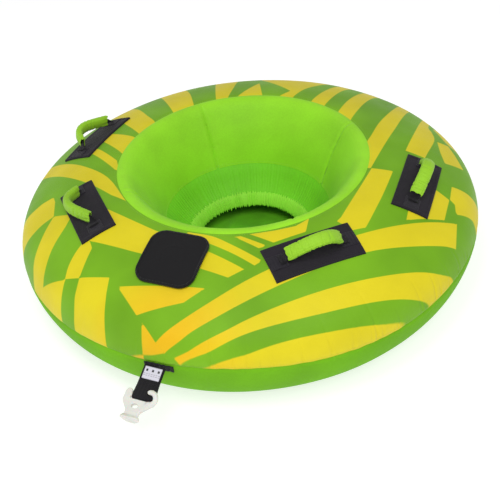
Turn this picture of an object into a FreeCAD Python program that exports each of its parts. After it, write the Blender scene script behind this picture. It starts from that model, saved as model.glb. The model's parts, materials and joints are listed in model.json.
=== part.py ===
import FreeCAD, Part
import Sketcher
import math
import os

# A towable tube for one rider: an inflated ring in a sewn cloth cover, with a seat well in its middle, four
# padded grab handles, a flap over the valve, and a tow strap with a quick connector.
# The origin is the centre of the underside, +Z is up, and the rider faces -Y, the tow side.
# Lengths are in millimetres and angles in degrees.

SIZES = {
    # section of the tube, measured on the outside of the cover
    "outer_radius": 610,            # at the outer seam, the widest ring
    "seam_height": 162,
    "crest_radius": 312,            # the highest ring, round the mouth of the well
    "crest_height": 322,
    "upper_end_radius": 100,        # the small arc of the section above the outer seam
    "lower_end_radius": 140,        # the small arc below it
    "base_radius": 427,             # edge of the flat underside
    "rim_radius": 330,              # seam between the printed top and the well
    "crest_roll_radius": 14,
    # seat well
    "waist_radius": 223,
    "waist_height": 154,
    "skirt_foot_radius": 170,
    "skirt_foot_height": 80,
    "hem_radius": 148,              # the open edge
    "hem_height": 52,
    "hem_wall": 8,
    "elastic_radius": 2.6,
    "floor_radius": 262,
    "floor_lap_radius": 240,
    # cloth layers
    "cloth": 2,
    "tape": 1.2,
    "tape_gap": 1,                  # between the cover and a tape behind it
    "outer_tape_width": 24,
    "rim_tape_reach": 8,            # either side of the rim seam
    "bladder_gap": 5,               # from the outside of the cover to the outside of the bladder
    "bladder_wall": 2,
    # handles
    "front_handle_angle": 43.9,     # either side of the tow side, round the tube
    "front_handle_radius": 426,
    "rear_handle_angle": 92.6,
    "rear_handle_radius": 458,
    "pad_length": 218,
    "pad_width": 93,
    "pad_gap": 0.4,
    "pad_thick": 4,
    "anchor_length": 40,
    "anchor_width": 38,
    "anchor_inset": 3,
    "anchor_thick": 2,
    "handle_span": 130,             # between the feet of the arch
    "handle_rise": 34,              # from the hinge line to the top of the arch
    "handle_lift": 21.5,            # hinge line above the cover
    "sleeve_radius": 15.5,
    "sleeve_bore": 14,
    "core_radius": 13.8,
    "core_slot": 0.2,               # play between the core and its webbing
    "webbing_width": 24,
    "webbing_thick": 2.4,
    # valve and its flap
    "valve_radius": 420,            # distance of the valve from the tube's axis
    "valve_hole": 27,
    "neck_radius": 20,
    "neck_bore": 17,
    "neck_top": -3,
    "neck_length": 29,
    "valve_flange": 38,
    "flange_depth": 3.2,
    "flange_thick": 1.6,
    "insert_radius": 16.9,
    "insert_bore": 10,
    "insert_top": -14,
    "insert_length": 6,
    "diaphragm_radius": 12,
    "diaphragm_thick": 1.2,
    "gasket_inner": 17.3,
    "gasket_thick": 0.9,
    "gasket_gap": 0.05,             # between the neck and the gasket on it
    "cap_radius": 24,
    "cap_thick": 1.8,
    "cap_gap": 1,                   # between the neck and the rim of the cap
    "plug_radius": 16.5,
    "plug_length": 10,
    "flap_width": 147,
    "flap_corner": 35,
    "flap_thick": 4,
    "patch_margin": 9,
    "loop_patch_hole": 31,
    "patch_thick": 2,
    "patch_play": 0.3,
    # tow point
    "strap_centre": 28,             # sideways from the middle
    "strap_width": 51,
    "strap_play": 0.4,
    "strap_sewn": 40,               # the length where the two layers are sewn together
    "last_stitch": 3,               # from there to where the layers part inside
    "strap_length": 70,             # from the hinge line to the centre of the loop
    "loop_bore": 5.4,
    "strap_droop": 24,
    "label_width": 44,
    "label_length": 29,
    "label_thick": 0.6,
    "label_inset": 6,
    "strap_anchor_height": 16,
    "strap_anchor_end": 68,
    "reinforcement_width": 90,
    "reinforcement_reach": 60,
    "reinforcement_rise": 14,       # its lower edge above the seam
    "reinforcement_depth": 2.2,
    "reinforcement_thick": 1.6,
    # quick connector
    "connector_droop": 12,
    "connector_shift": 9,           # its middle, to the left of the strap's
    "connector_thick": 10,
    "crossbar_radius": 5,
    "crossbar_inset": 4,            # its start inside the ear
    "crossbar_reach": 23,           # its length to the right of the middle, less half a shoulder
    "ear_radius": 8,
    "shoulder_width": 70,
    "neck_width": 32,
    "foot_width": 46,
    "foot_thick": 26,
    "foot_length": 9,
    "ear_reach": 14,
    "shoulder_start": 9,
    "shoulder_length": 10,
    "neck_end": 50,
    "neck_straight": 10,
    "sink": 1,                      # how deep the horn's foot goes into the plate and into the horn
    "horn_thick": 6,
    "horn_inset": 8,                # its left side from the middle
    "horn_gap": 9.2,                # underside of the horn above the crossbar's axis
    "eye_half_length": 7.5,
    "eye_radius": 5.5,
    "eye_place": 25,
    "foot_corner": 4,
    "shoulder_corner": 6,
}

DRILL_LENGTH = 60                   # a tool that cuts through the cover, half on each side of it
BLOCK_LENGTH = 200                  # a tool that cuts a stretch out of a ring at the outer seam
BLOCK_CLEAR = 20                    # how far that tool stands outside the ring

HANDLES = {
    # name: side, pair, lean outwards at rest
    "front_left": (-1, "front", 70),
    "front_right": (1, "front", 20),
    "rear_left": (-1, "rear", 60),
    "rear_right": (1, "rear", 5),
}

UP = FreeCAD.Vector(0, 0, 1)
SIDEWAYS = FreeCAD.Vector(1, 0, 0)
ORIGIN = FreeCAD.Vector(0, 0, 0)

doc = FreeCAD.newDocument("towable_tube")
sheet = doc.addObject("Spreadsheet::Sheet", "Sizes")
for row, (alias, amount) in enumerate(SIZES.items(), start=1):
    sheet.set("A" + str(row), alias)
    sheet.set("B" + str(row), str(amount))
    sheet.setAlias("B" + str(row), alias)
doc.recompute()

parts = []


def size(alias):
    """The number in one cell of the sheet."""
    return float(sheet.get(alias))


def bind(thing, **expressions):
    """Tie properties of an object to expressions on the sheet, written as sums of aliases."""
    for name, expression in expressions.items():
        thing.setExpression(name, expression)
    return thing


def keep(thing, node):
    """Mark an object as a finished sub-part and give it the name of its file."""
    thing.Label = node
    parts.append(thing)
    return thing


# ---------------------------------------------------------------- sketches


def new_sketch(body, name, role):
    """An empty sketch on one of a body's own origin planes."""
    sketch = body.newObject("Sketcher::SketchObject", name)
    plane = next(item for item in body.Origin.OriginFeatures if item.Role == role)
    sketch.AttachmentSupport = [(plane, "")]
    sketch.MapMode = "FlatFace"
    return sketch


def number(expression):
    """What an expression is worth now, as a first guess for the sketch solver."""
    result = sheet.evalExpression(expression.replace("Sizes.", ""))
    return float(getattr(result, "Value", result))


def pin_down(sketch, geometry, end, x, y):
    """Fix one point of a sketch at two expressions. End is 1 for start, 2 for end, 3 for centre."""
    for kind, expression in (("DistanceX", x), ("DistanceY", y)):
        if expression is None:
            continue
        rule = Sketcher.Constraint(kind, -1, 1, geometry, end, number(expression))
        index = sketch.addConstraint(rule)
        sketch.setExpression("Constraints[%d]" % index, expression)


def set_radius(sketch, geometry, expression):
    index = sketch.addConstraint(Sketcher.Constraint("Radius", geometry, number(expression)))
    sketch.setExpression("Constraints[%d]" % index, expression)


def polygon(sketch, corners):
    """A closed chain of straight lines through corners, each a pair of expressions."""
    points = [FreeCAD.Vector(number(x), number(y), 0) for x, y in corners]
    first = sketch.GeometryCount
    count = len(points)
    for i in range(count):
        sketch.addGeometry(Part.LineSegment(points[i], points[(i + 1) % count]))
    for i in range(count):
        sketch.addConstraint(Sketcher.Constraint("Coincident", first + i, 2, first + (i + 1) % count, 1))
    for i, (x, y) in enumerate(corners):
        pin_down(sketch, first + i, 1, x, y)


def arc(sketch, centre, radius, start, end):
    """An arc about a centre, from one angle to another, counter-clockwise."""
    circle = Part.Circle(FreeCAD.Vector(centre[0], centre[1], 0), UP, radius)
    return sketch.addGeometry(Part.ArcOfCircle(circle, math.radians(start), math.radians(end)))


def line(sketch, start, end):
    return sketch.addGeometry(Part.LineSegment(FreeCAD.Vector(*start, 0), FreeCAD.Vector(*end, 0)))


def join(sketch, kind, first, first_end, second, second_end):
    sketch.addConstraint(Sketcher.Constraint(kind, first, first_end, second, second_end))


def revolve(body, sketch, angle=360):
    """Turn a sketch about the tube's axis."""
    turned = body.newObject("PartDesign::Revolution", body.Name + "_turned")
    turned.Profile = sketch
    turned.ReferenceAxis = (sketch, ["V_Axis"])
    turned.Angle = angle
    turned.Midplane = angle < 360
    body.Tip = turned
    return turned


# ---------------------------------------------------------------- section of the tube


def section_arcs(half):
    """The large and the small arc of one half of the section: the large arc's centre, both radii, and the
    angle where they meet, measured at the centres from the horizontal. The two arcs are tangent there."""
    side = 1 if half == "upper" else -1
    end_radius = size(half + "_end_radius")
    flat_radius = size("crest_radius") if half == "upper" else size("base_radius")
    rise = size("crest_height") - size("seam_height") if half == "upper" else size("seam_height")
    run = size("outer_radius") - flat_radius
    large = (run * run + rise * rise - 2 * run * end_radius) / (2 * (rise - end_radius)) if \
        rise != end_radius else run
    centre_z = size("seam_height") + side * (rise - large)
    meet = math.degrees(math.atan2(side * (large - rise), run - end_radius))
    return (flat_radius, centre_z), large, end_radius, meet


def surface_height(radius):
    """Height of the top of the cover at a distance from the axis, between the crest and the shoulder."""
    (centre_x, centre_z), large, _, _ = section_arcs("upper")
    return centre_z + math.sqrt(large * large - (radius - centre_x) ** 2)


def surface_tilt(radius):
    """How far the cover leans outwards there, in degrees."""
    (centre_x, _), large, _, _ = section_arcs("upper")
    return math.degrees(math.asin((radius - centre_x) / large))


def outer_arcs(sketch, half, grow):
    """Draw the two arcs of one half of the section, moved outwards by an expression, and tie them down.
    Returns the small arc and the large arc. The large one's far end stays free."""
    (flat_x, centre_z), large, end_radius, meet = section_arcs(half)
    more = number(grow)
    end_x = size("outer_radius") - end_radius
    level = size("seam_height")
    if half == "upper":
        small = arc(sketch, (end_x, level), end_radius + more, 0, meet)
        big = arc(sketch, (flat_x, centre_z), large + more, meet, 89.5)
        join(sketch, "Tangent", small, 2, big, 1)
        top = "Sizes.crest_height + (%s)" % grow
    else:
        small = arc(sketch, (end_x, level), end_radius + more, meet, 0)
        big = arc(sketch, (flat_x, centre_z), large + more, -90, meet)
        join(sketch, "Tangent", small, 1, big, 2)
        top = "-(%s)" % grow
    pin_down(sketch, small, 3, "Sizes.outer_radius - Sizes.%s_end_radius" % half, "Sizes.seam_height")
    set_radius(sketch, small, "Sizes.%s_end_radius + (%s)" % (half, grow))
    return small, big, top


def upper_form(name, grow):
    """The solid under the printed top, from the rim seam to the outer seam, moved outwards by an expression."""
    body = doc.addObject("PartDesign::Body", name)
    sketch = new_sketch(body, name + "_section", "XZ_Plane")
    small, big, top = outer_arcs(sketch, "upper", grow)
    crest = sketch.addGeometry(Part.Point(FreeCAD.Vector(size("crest_radius"), number(top), 0)), True)
    pin_down(sketch, crest, 1, "Sizes.crest_radius", top)
    sketch.addConstraint(Sketcher.Constraint("PointOnObject", crest, 1, big))
    pin_down(sketch, big, 3, "Sizes.crest_radius", None)
    rim_top = surface_height(size("rim_radius")) + number(grow)
    rim = line(sketch, (size("rim_radius"), rim_top), (size("rim_radius"), size("seam_height")))
    base = line(sketch, (size("rim_radius"), size("seam_height")), (size("outer_radius"), size("seam_height")))
    join(sketch, "Coincident", big, 2, rim, 1)
    join(sketch, "Coincident", rim, 2, base, 1)
    join(sketch, "Coincident", base, 2, small, 1)
    sketch.addConstraint(Sketcher.Constraint("Vertical", rim))
    sketch.addConstraint(Sketcher.Constraint("Horizontal", base))
    pin_down(sketch, rim, 2, "Sizes.rim_radius", "Sizes.seam_height")
    revolve(body, sketch)
    return body


def lower_form(name, grow):
    """The solid inside the bottom cover, from its lap on the floor panel to the outer seam."""
    body = doc.addObject("PartDesign::Body", name)
    sketch = new_sketch(body, name + "_section", "XZ_Plane")
    small, big, bottom = outer_arcs(sketch, "lower", grow)
    lap = size("floor_lap_radius")
    level = size("seam_height")
    floor = line(sketch, (lap, number(bottom)), (size("base_radius"), number(bottom)))
    inner = line(sketch, (lap, level), (lap, number(bottom)))
    lid = line(sketch, (size("outer_radius"), level), (lap, level))
    join(sketch, "Tangent", floor, 2, big, 1)
    join(sketch, "Coincident", small, 2, lid, 1)
    join(sketch, "Coincident", lid, 2, inner, 1)
    join(sketch, "Coincident", inner, 2, floor, 1)
    for flat in (floor, lid):
        sketch.addConstraint(Sketcher.Constraint("Horizontal", flat))
    pin_down(sketch, floor, 1, "Sizes.floor_lap_radius", bottom)
    pin_down(sketch, inner, 1, "Sizes.floor_lap_radius", "Sizes.seam_height")
    pin_down(sketch, big, 3, "Sizes.base_radius", None)
    revolve(body, sketch)
    return body


def well_wall_end(inset):
    """Where the sloping wall of the well, moved back by a distance, crosses the height of the seam, with the
    point where it leaves the roll of the crest and its angle to the vertical."""
    roll = size("crest_roll_radius")
    centre = (size("crest_radius"), size("crest_height") - roll)
    across = centre[0] - size("waist_radius")
    down = centre[1] - size("waist_height")
    reach = math.hypot(across, down)
    slope = math.atan2(across, down) - math.asin(roll / reach)
    leave = (centre[0] - (roll - inset) * math.cos(slope), centre[1] + (roll - inset) * math.sin(slope))
    drop = leave[1] - size("seam_height")
    return leave, (leave[0] - drop * math.tan(slope), size("seam_height")), math.degrees(slope)


def cut(name, base, tool):
    result = doc.addObject("Part::Cut", name)
    result.Base = base
    result.Tool = tool
    return result


def common(name, base, tool):
    result = doc.addObject("Part::Common", name)
    result.Base = base
    result.Tool = tool
    return result


def fuse(name, shapes):
    result = doc.addObject("Part::MultiFuse", name)
    result.Shapes = shapes
    return result


def cylinder(name, radius, height, bottom="0"):
    """An upright round bar whose radius, height and bottom are expressions."""
    bar = doc.addObject("Part::Cylinder", name)
    bind(bar, Radius=radius, Height=height)
    bar.setExpression("Placement.Base.z", bottom)
    return bar


def ring(name, radius, bore, height, bottom="0"):
    """A round bar with a bore through it."""
    outside = cylinder(name + "_outside", radius, height, bottom)
    inside = cylinder(name + "_inside", bore, "(%s) + 2" % height, "(%s) - 1" % bottom)
    return cut(name, outside, inside)


def box(name, length, width, height):
    block = doc.addObject("Part::Box", name)
    return bind(block, Length=length, Width=width, Height=height)


def centred(block, below=0):
    """The placement that centres a box on its own origin, sunk by a distance."""
    return FreeCAD.Placement(FreeCAD.Vector(-number_of(block, "Length") / 2, -number_of(block, "Width") / 2,
                                            -below), FreeCAD.Rotation())


def number_of(block, name):
    return float(getattr(block, name))


def on_tube(angle, radius, lift=0):
    """The placement of something that sits on the cover: X along the tube, Y inwards, Z straight out of the
    cloth. Angle is counted round the tube from the tow side."""
    outwards = FreeCAD.Rotation(SIDEWAYS, surface_tilt(radius))
    seat = FreeCAD.Placement(FreeCAD.Vector(0, -radius, surface_height(radius)), outwards)
    seat = seat.multiply(FreeCAD.Placement(UP * lift, FreeCAD.Rotation()))
    return FreeCAD.Placement(ORIGIN, FreeCAD.Rotation(UP, angle)).multiply(seat)


def upper_layer(name, low, high):
    """A layer that lies on the top of the cover, between two distances from it."""
    return cut(name, upper_form(name + "_high", high), upper_form(name + "_low", low))


# ---------------------------------------------------------------- cover


def make_valve_drill(name, radius):
    """A bar along the valve's axis, long enough to cut the cover and the bladder."""
    drill = doc.addObject("Part::Cylinder", name)
    bind(drill, Radius=radius)
    drill.Height = DRILL_LENGTH
    drill.Placement = on_tube(0, size("valve_radius"), -DRILL_LENGTH / 2)
    return drill


def make_top_cover():
    skin = upper_layer("top_skin", "-Sizes.cloth", "0")
    keep(cut("top_cover", skin, make_valve_drill("valve_hole", "Sizes.valve_hole")), "top_cover")


def make_bottom_cover():
    skin = cut("bottom_cover", lower_form("bottom_outside", "0"), lower_form("bottom_inside", "-Sizes.cloth"))
    keep(skin, "bottom_cover")


def make_floor_panel():
    panel = cylinder("floor_panel", "Sizes.floor_radius", "Sizes.tape", "Sizes.cloth")
    keep(panel, "floor_panel")


def wall_section(sketch, inset, foot_radius, foot_height):
    """One line of the well's wall: an arc over the crest, then straight down to a foot."""
    leave, _, slope = well_wall_end(number(inset))
    crest = (size("crest_radius"), size("crest_height") - size("crest_roll_radius"))
    roll = arc(sketch, crest, size("crest_roll_radius") - number(inset), 90, 180 - slope)
    wall = line(sketch, leave, (foot_radius, foot_height))
    join(sketch, "Tangent", roll, 2, wall, 1)
    pin_down(sketch, roll, 3, "Sizes.crest_radius", "Sizes.crest_height - Sizes.crest_roll_radius")
    set_radius(sketch, roll, "Sizes.crest_roll_radius - (%s)" % inset)
    sketch.addConstraint(Sketcher.Constraint("Vertical", roll, 3, roll, 1))
    return roll, wall


def make_well_panels():
    """Four panels that roll over the crest and run down to the waist seam."""
    for name, angle in (("front", 0), ("right", 90), ("back", 180), ("left", 270)):
        node = "well_panel_" + name
        body = doc.addObject("PartDesign::Body", node)
        sketch = new_sketch(body, node + "_section", "XZ_Plane")
        waist = (size("waist_radius"), size("waist_height"))
        top = size("crest_height")
        under = top - size("cloth")
        foot_outside = waist[0] + size("cloth")
        rim = size("rim_radius")
        outer_roll, outer_wall = wall_section(sketch, "0", *waist)
        inner_roll, inner_wall = wall_section(sketch, "Sizes.cloth", foot_outside, waist[1])
        lap_top = line(sketch, (rim, top), (size("crest_radius"), top))
        lap_end = line(sketch, (rim, under), (rim, top))
        lap_under = line(sketch, (size("crest_radius"), under), (rim, under))
        foot = line(sketch, waist, (foot_outside, waist[1]))
        join(sketch, "Coincident", lap_top, 2, outer_roll, 1)
        join(sketch, "Coincident", lap_end, 2, lap_top, 1)
        join(sketch, "Coincident", lap_under, 2, lap_end, 1)
        join(sketch, "Coincident", inner_roll, 1, lap_under, 1)
        join(sketch, "Coincident", outer_wall, 2, foot, 1)
        join(sketch, "Coincident", foot, 2, inner_wall, 2)
        for flat in (lap_top, lap_under, foot):
            sketch.addConstraint(Sketcher.Constraint("Horizontal", flat))
        sketch.addConstraint(Sketcher.Constraint("Vertical", lap_end))
        pin_down(sketch, lap_end, 1, "Sizes.rim_radius", None)
        pin_down(sketch, foot, 1, "Sizes.waist_radius", "Sizes.waist_height")
        sketch.addConstraint(Sketcher.Constraint("Parallel", outer_wall, inner_wall))
        revolve(body, sketch, 90)
        body.Placement = FreeCAD.Placement(ORIGIN, FreeCAD.Rotation(UP, angle - 90))
        keep(body, node)


def slanted_ring(node, top, foot, thick):
    """A band of cloth between two rings of different size, thick along the radius."""
    body = doc.addObject("PartDesign::Body", node)
    sketch = new_sketch(body, node + "_section", "XZ_Plane")
    polygon(sketch, [
        (foot[0], foot[1]),
        ("%s + %s" % (foot[0], thick), foot[1]),
        ("%s + %s" % (top[0], thick), top[1]),
        (top[0], top[1]),
    ])
    revolve(body, sketch)
    return body


def make_well_skirt():
    """The gathered skirt under the waist seam, its hem, and the elastic cord that draws the hem in."""
    waist = ("Sizes.waist_radius", "Sizes.waist_height")
    foot = ("Sizes.skirt_foot_radius", "Sizes.skirt_foot_height")
    edge = ("Sizes.hem_radius", "Sizes.hem_height")
    keep(slanted_ring("well_lower_panel", waist, foot, "Sizes.cloth"), "well_lower_panel")
    hem = slanted_ring("hem_cloth", foot, edge, "Sizes.hem_wall")
    middle_x = "(Sizes.skirt_foot_radius + Sizes.hem_radius + Sizes.hem_wall) / 2"
    middle_z = "(Sizes.skirt_foot_height + Sizes.hem_height) / 2"
    channel = bind(doc.addObject("Part::Torus", "hem_channel"), Radius1=middle_x,
                   Radius2="Sizes.elastic_radius + Sizes.core_slot")
    cord = bind(doc.addObject("Part::Torus", "well_elastic_cord"), Radius1=middle_x,
                Radius2="Sizes.elastic_radius")
    for loop in (channel, cord):
        loop.setExpression("Placement.Base.z", middle_z)
    keep(cut("well_hem", hem, channel), "well_hem")
    keep(cord, "well_elastic_cord")


def make_seam_tapes():
    tape_outside = "Sizes.outer_radius - Sizes.cloth - Sizes.tape_gap"
    band = ring("outer_seam_tape", tape_outside, tape_outside + " - Sizes.tape", "Sizes.outer_tape_width",
                "Sizes.seam_height - Sizes.outer_tape_width / 2")
    keep(band, "outer_seam_tape")
    under_rim = "Sizes.crest_height - Sizes.cloth - Sizes.tape_gap - Sizes.tape"
    flat = ring("rim_seam_tape", "Sizes.rim_radius + Sizes.rim_tape_reach",
                "Sizes.rim_radius - Sizes.rim_tape_reach", "Sizes.tape", under_rim)
    keep(flat, "rim_seam_tape")


# ---------------------------------------------------------------- bladder


def bladder_upper_form(name, inset):
    """The solid of the inflated ring above the height of the seam, moved inwards by an expression."""
    body = doc.addObject("PartDesign::Body", name)
    sketch = new_sketch(body, name + "_section", "XZ_Plane")
    small, big, _ = outer_arcs(sketch, "upper", "-(%s)" % inset)
    _, foot, _ = well_wall_end(number(inset))
    roll, wall = wall_section(sketch, inset, *foot)
    join(sketch, "Coincident", big, 2, roll, 1)
    pin_down(sketch, big, 3, "Sizes.crest_radius", None)
    base = line(sketch, foot, (size("outer_radius"), size("seam_height")))
    join(sketch, "Coincident", wall, 2, base, 1)
    join(sketch, "Coincident", base, 2, small, 1)
    sketch.addConstraint(Sketcher.Constraint("Horizontal", base))
    pin_down(sketch, base, 1, str(round(foot[0], 3)), "Sizes.seam_height")
    revolve(body, sketch)
    return body


def bladder_lower_form(name, inset):
    """The solid of the ring below that height: its inner wall bulges towards the rider and turns under to the
    flat bottom in one arc, tangent to the well's wall and to the bottom."""
    body = doc.addObject("PartDesign::Body", name)
    sketch = new_sketch(body, name + "_section", "XZ_Plane")
    small, big, bottom = outer_arcs(sketch, "lower", "-(%s)" % inset)
    _, head, slope = well_wall_end(number(inset))
    level = size("seam_height")
    lean = math.radians(slope)
    flat = number(bottom)
    bulge_radius = (level - flat) / (1 + math.sin(lean))
    centre = (head[0] + bulge_radius * math.cos(lean), flat + bulge_radius)
    bulge = arc(sketch, centre, bulge_radius, 180 - slope, 270)
    floor = line(sketch, (centre[0], flat), (size("base_radius"), flat))
    lid = line(sketch, (size("outer_radius"), level), (head[0], level))
    join(sketch, "Tangent", bulge, 2, floor, 1)
    join(sketch, "Tangent", floor, 2, big, 1)
    join(sketch, "Coincident", small, 2, lid, 1)
    join(sketch, "Coincident", lid, 2, bulge, 1)
    for straight in (floor, lid):
        sketch.addConstraint(Sketcher.Constraint("Horizontal", straight))
    pin_down(sketch, bulge, 1, str(round(head[0], 3)), "Sizes.seam_height")
    pin_down(sketch, floor, 1, str(round(centre[0], 3)), bottom)
    pin_down(sketch, big, 3, "Sizes.base_radius", None)
    revolve(body, sketch)
    return body


def make_bladder():
    outside = "Sizes.bladder_gap"
    inside = "Sizes.bladder_gap + Sizes.bladder_wall"
    upper = cut("upper_sheet_blank", bladder_upper_form("upper_sheet_outside", outside),
                bladder_upper_form("upper_sheet_inside", inside))
    drill = make_valve_drill("bladder_hole", "Sizes.neck_radius + Sizes.pad_gap")
    keep(cut("bladder_upper_sheet", upper, drill), "bladder_upper_sheet")
    lower = cut("bladder_lower_sheet", bladder_lower_form("lower_sheet_outside", outside),
                bladder_lower_form("lower_sheet_inside", inside))
    keep(lower, "bladder_lower_sheet")


# ---------------------------------------------------------------- valve


def make_valve():
    """The valve stands square to the cloth, so its pieces are turned about its own axis and then placed."""
    seat = on_tube(0, size("valve_radius"))
    neck = ring("valve_neck", "Sizes.neck_radius", "Sizes.neck_bore", "Sizes.neck_length",
                "Sizes.neck_top - Sizes.neck_length")
    neck.Placement = seat
    flange_disc = ring("valve_flange_disc", "Sizes.valve_flange", "Sizes.neck_bore", "Sizes.neck_length",
                       "-Sizes.neck_length / 2")
    flange_disc.Placement = seat
    flange_layer = upper_layer("valve_flange_layer", "-Sizes.flange_depth - Sizes.flange_thick",
                               "-Sizes.flange_depth")
    flange = common("valve_flange", flange_layer, flange_disc)
    keep(fuse("valve_base", [neck, flange]), "valve_base")

    insert = ring("valve_insert", "Sizes.insert_radius", "Sizes.insert_bore", "Sizes.insert_length",
                  "Sizes.insert_top - Sizes.insert_length")
    insert.Placement = seat
    keep(insert, "valve_insert")

    diaphragm = bind(doc.addObject("Part::Cylinder", "valve_diaphragm"), Radius="Sizes.diaphragm_radius",
                     Height="Sizes.diaphragm_thick")
    under_insert = size("insert_top") - size("insert_length") - size("diaphragm_thick") - size("patch_play")
    diaphragm.Placement = on_tube(0, size("valve_radius"), under_insert)
    keep(diaphragm, "valve_diaphragm")

    gasket = ring("valve_gasket", "Sizes.neck_radius", "Sizes.gasket_inner", "Sizes.gasket_thick",
                  "Sizes.neck_top + Sizes.gasket_gap")
    gasket.Placement = seat
    keep(gasket, "valve_gasket")

    rim = "Sizes.neck_top + Sizes.cap_gap"
    cap_disc = cylinder("cap_disc", "Sizes.cap_radius", "Sizes.cap_thick", rim)
    plug = cylinder("cap_plug", "Sizes.plug_radius", "Sizes.plug_length + Sizes.cap_thick / 2",
                    rim + " - Sizes.plug_length")
    cap = fuse("valve_cap", [cap_disc, plug])
    cap.Placement = seat
    keep(cap, "valve_cap")


def rounded_block(name, width, corner):
    """A tall square block with rounded upright edges, to cut a patch out of a layer."""
    block = box(name + "_block", width, width, str(DRILL_LENGTH))
    doc.recompute()
    block.Placement = centred(block, DRILL_LENGTH / 2)
    doc.recompute()
    upright = []
    for index, edge in enumerate(block.Shape.Edges, start=1):
        if abs(edge.tangentAt(edge.FirstParameter).z) > 0.99:
            upright.append((index, number(corner), number(corner)))
    rounded = doc.addObject("Part::Fillet", name)
    rounded.Base = block
    rounded.Edges = upright
    return rounded


def make_flap():
    seat = on_tube(0, size("valve_radius"))
    inner = "Sizes.flap_width - 2 * Sizes.patch_margin"
    inner_corner = "Sizes.flap_corner - Sizes.patch_margin"

    loop_shape = rounded_block("loop_patch_shape", inner, inner_corner)
    loop_shape.Placement = seat
    loop_layer = upper_layer("loop_patch_layer", "0", "Sizes.patch_thick")
    loop_blank = common("loop_patch_blank", loop_layer, loop_shape)
    hole = make_valve_drill("loop_patch_opening", "Sizes.loop_patch_hole")
    keep(cut("flap_loop_patch", loop_blank, hole), "flap_loop_patch")

    hook_low = "Sizes.patch_thick + Sizes.patch_play"
    hook_high = "2 * Sizes.patch_thick"
    hook_shape = rounded_block("hook_patch_shape", inner, inner_corner)
    hook_shape.Placement = seat
    keep(common("flap_hook_patch", upper_layer("hook_patch_layer", hook_low, hook_high), hook_shape),
         "flap_hook_patch")

    flap_shape = rounded_block("flap_shape", "Sizes.flap_width", "Sizes.flap_corner")
    flap_shape.Placement = seat
    flap_layer = upper_layer("flap_layer", hook_high, "%s + Sizes.flap_thick" % hook_high)
    keep(common("valve_flap", flap_layer, flap_shape), "valve_flap")


# ---------------------------------------------------------------- handles


def make_handle_pads():
    pad_top = "Sizes.pad_gap + Sizes.pad_thick"
    pad_layer = upper_layer("pad_layer", "Sizes.pad_gap", pad_top)
    anchor_layer = upper_layer("anchor_layer", pad_top, "%s + Sizes.anchor_thick" % pad_top)
    for name, (side, pair, _) in HANDLES.items():
        seat = on_tube(side * size(pair + "_handle_angle"), size(pair + "_handle_radius"))
        block = box("pad_block_" + name, "Sizes.pad_length", "Sizes.pad_width", str(DRILL_LENGTH))
        doc.recompute()
        block.Placement = seat.multiply(centred(block, DRILL_LENGTH / 2))
        keep(common("handle_pad_" + name, pad_layer, block), "handle_pad_" + name)

        ends = []
        for end in (-1, 1):
            strip = box("anchor_block_%s_%s" % (name, "ab"[end > 0]), "Sizes.anchor_length",
                        "Sizes.anchor_width", str(DRILL_LENGTH))
            doc.recompute()
            out = size("pad_length") / 2 - size("anchor_inset") - size("anchor_length") / 2
            place = FreeCAD.Placement(SIDEWAYS * (end * out), FreeCAD.Rotation())
            strip.Placement = seat.multiply(place).multiply(centred(strip, DRILL_LENGTH / 2))
            ends.append(strip)
        anchors = fuse("anchor_blocks_" + name, ends)
        keep(common("handle_anchor_" + name, anchor_layer, anchors), "handle_anchor_" + name)


def arch_radius():
    span = size("handle_span") / 2
    rise = size("handle_rise")
    return (span * span + rise * rise) / (2 * rise)


def arch_bar(name, radius):
    """A round bar bent into the handle's arch, standing on the hinge line."""
    bar = doc.addObject("Part::Torus", name)
    half = "Sizes.handle_span / 2"
    bar.setExpression("Radius1", "(%s * %s + Sizes.handle_rise * Sizes.handle_rise) / (2 * Sizes.handle_rise)"
                      % (half, half))
    bar.setExpression("Radius2", radius)
    sweep = 2 * math.degrees(math.asin(size("handle_span") / 2 / arch_radius()))
    bar.Angle3 = sweep
    upright = FreeCAD.Rotation(SIDEWAYS, 90).multiply(FreeCAD.Rotation(UP, 90 - sweep / 2))
    bar.Placement = FreeCAD.Placement(FreeCAD.Vector(0, 0, size("handle_rise") - arch_radius()), upright)
    return bar


def arch_webbing(name, width, thick):
    """Flat webbing bent into the same arch: the bar's arc as a ring, cut at the hinge line."""
    radius = "(Sizes.handle_span * Sizes.handle_span / 4 + Sizes.handle_rise * Sizes.handle_rise)" \
        " / (2 * Sizes.handle_rise)"
    hoop = ring(name + "_hoop", "%s + (%s) / 2" % (radius, thick), "%s - (%s) / 2" % (radius, thick), width,
                "-(%s) / 2" % width)
    upright = FreeCAD.Rotation(SIDEWAYS, 90)
    hoop.Placement = FreeCAD.Placement(FreeCAD.Vector(0, 0, size("handle_rise") - arch_radius()), upright)
    above = box(name + "_above", "4 * Sizes.handle_span", "2 * Sizes.handle_span", "2 * Sizes.handle_span")
    doc.recompute()
    above.Placement = centred(above)
    return common(name, hoop, above)


def make_handles():
    """Each handle is a sleeve round a foam core round the webbing, and swings on its hinge line."""
    for name, (side, pair, lean) in HANDLES.items():
        seat = on_tube(side * size(pair + "_handle_angle"), size(pair + "_handle_radius"), size("handle_lift"))
        leaning = seat.multiply(FreeCAD.Placement(ORIGIN, FreeCAD.Rotation(SIDEWAYS, lean)))
        sleeve = cut("handle_sleeve_" + name, arch_bar("sleeve_outside_" + name, "Sizes.sleeve_radius"),
                     arch_bar("sleeve_inside_" + name, "Sizes.sleeve_bore"))
        slot = arch_webbing("core_slot_" + name, "Sizes.webbing_width + 2 * Sizes.core_slot",
                            "Sizes.webbing_thick + 2 * Sizes.core_slot")
        core = cut("handle_core_" + name, arch_bar("core_bar_" + name, "Sizes.core_radius"), slot)
        webbing = arch_webbing("handle_webbing_" + name, "Sizes.webbing_width", "Sizes.webbing_thick")
        for piece in (sleeve, core, webbing):
            piece.Placement = leaning
            keep(piece, piece.Name)


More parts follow.
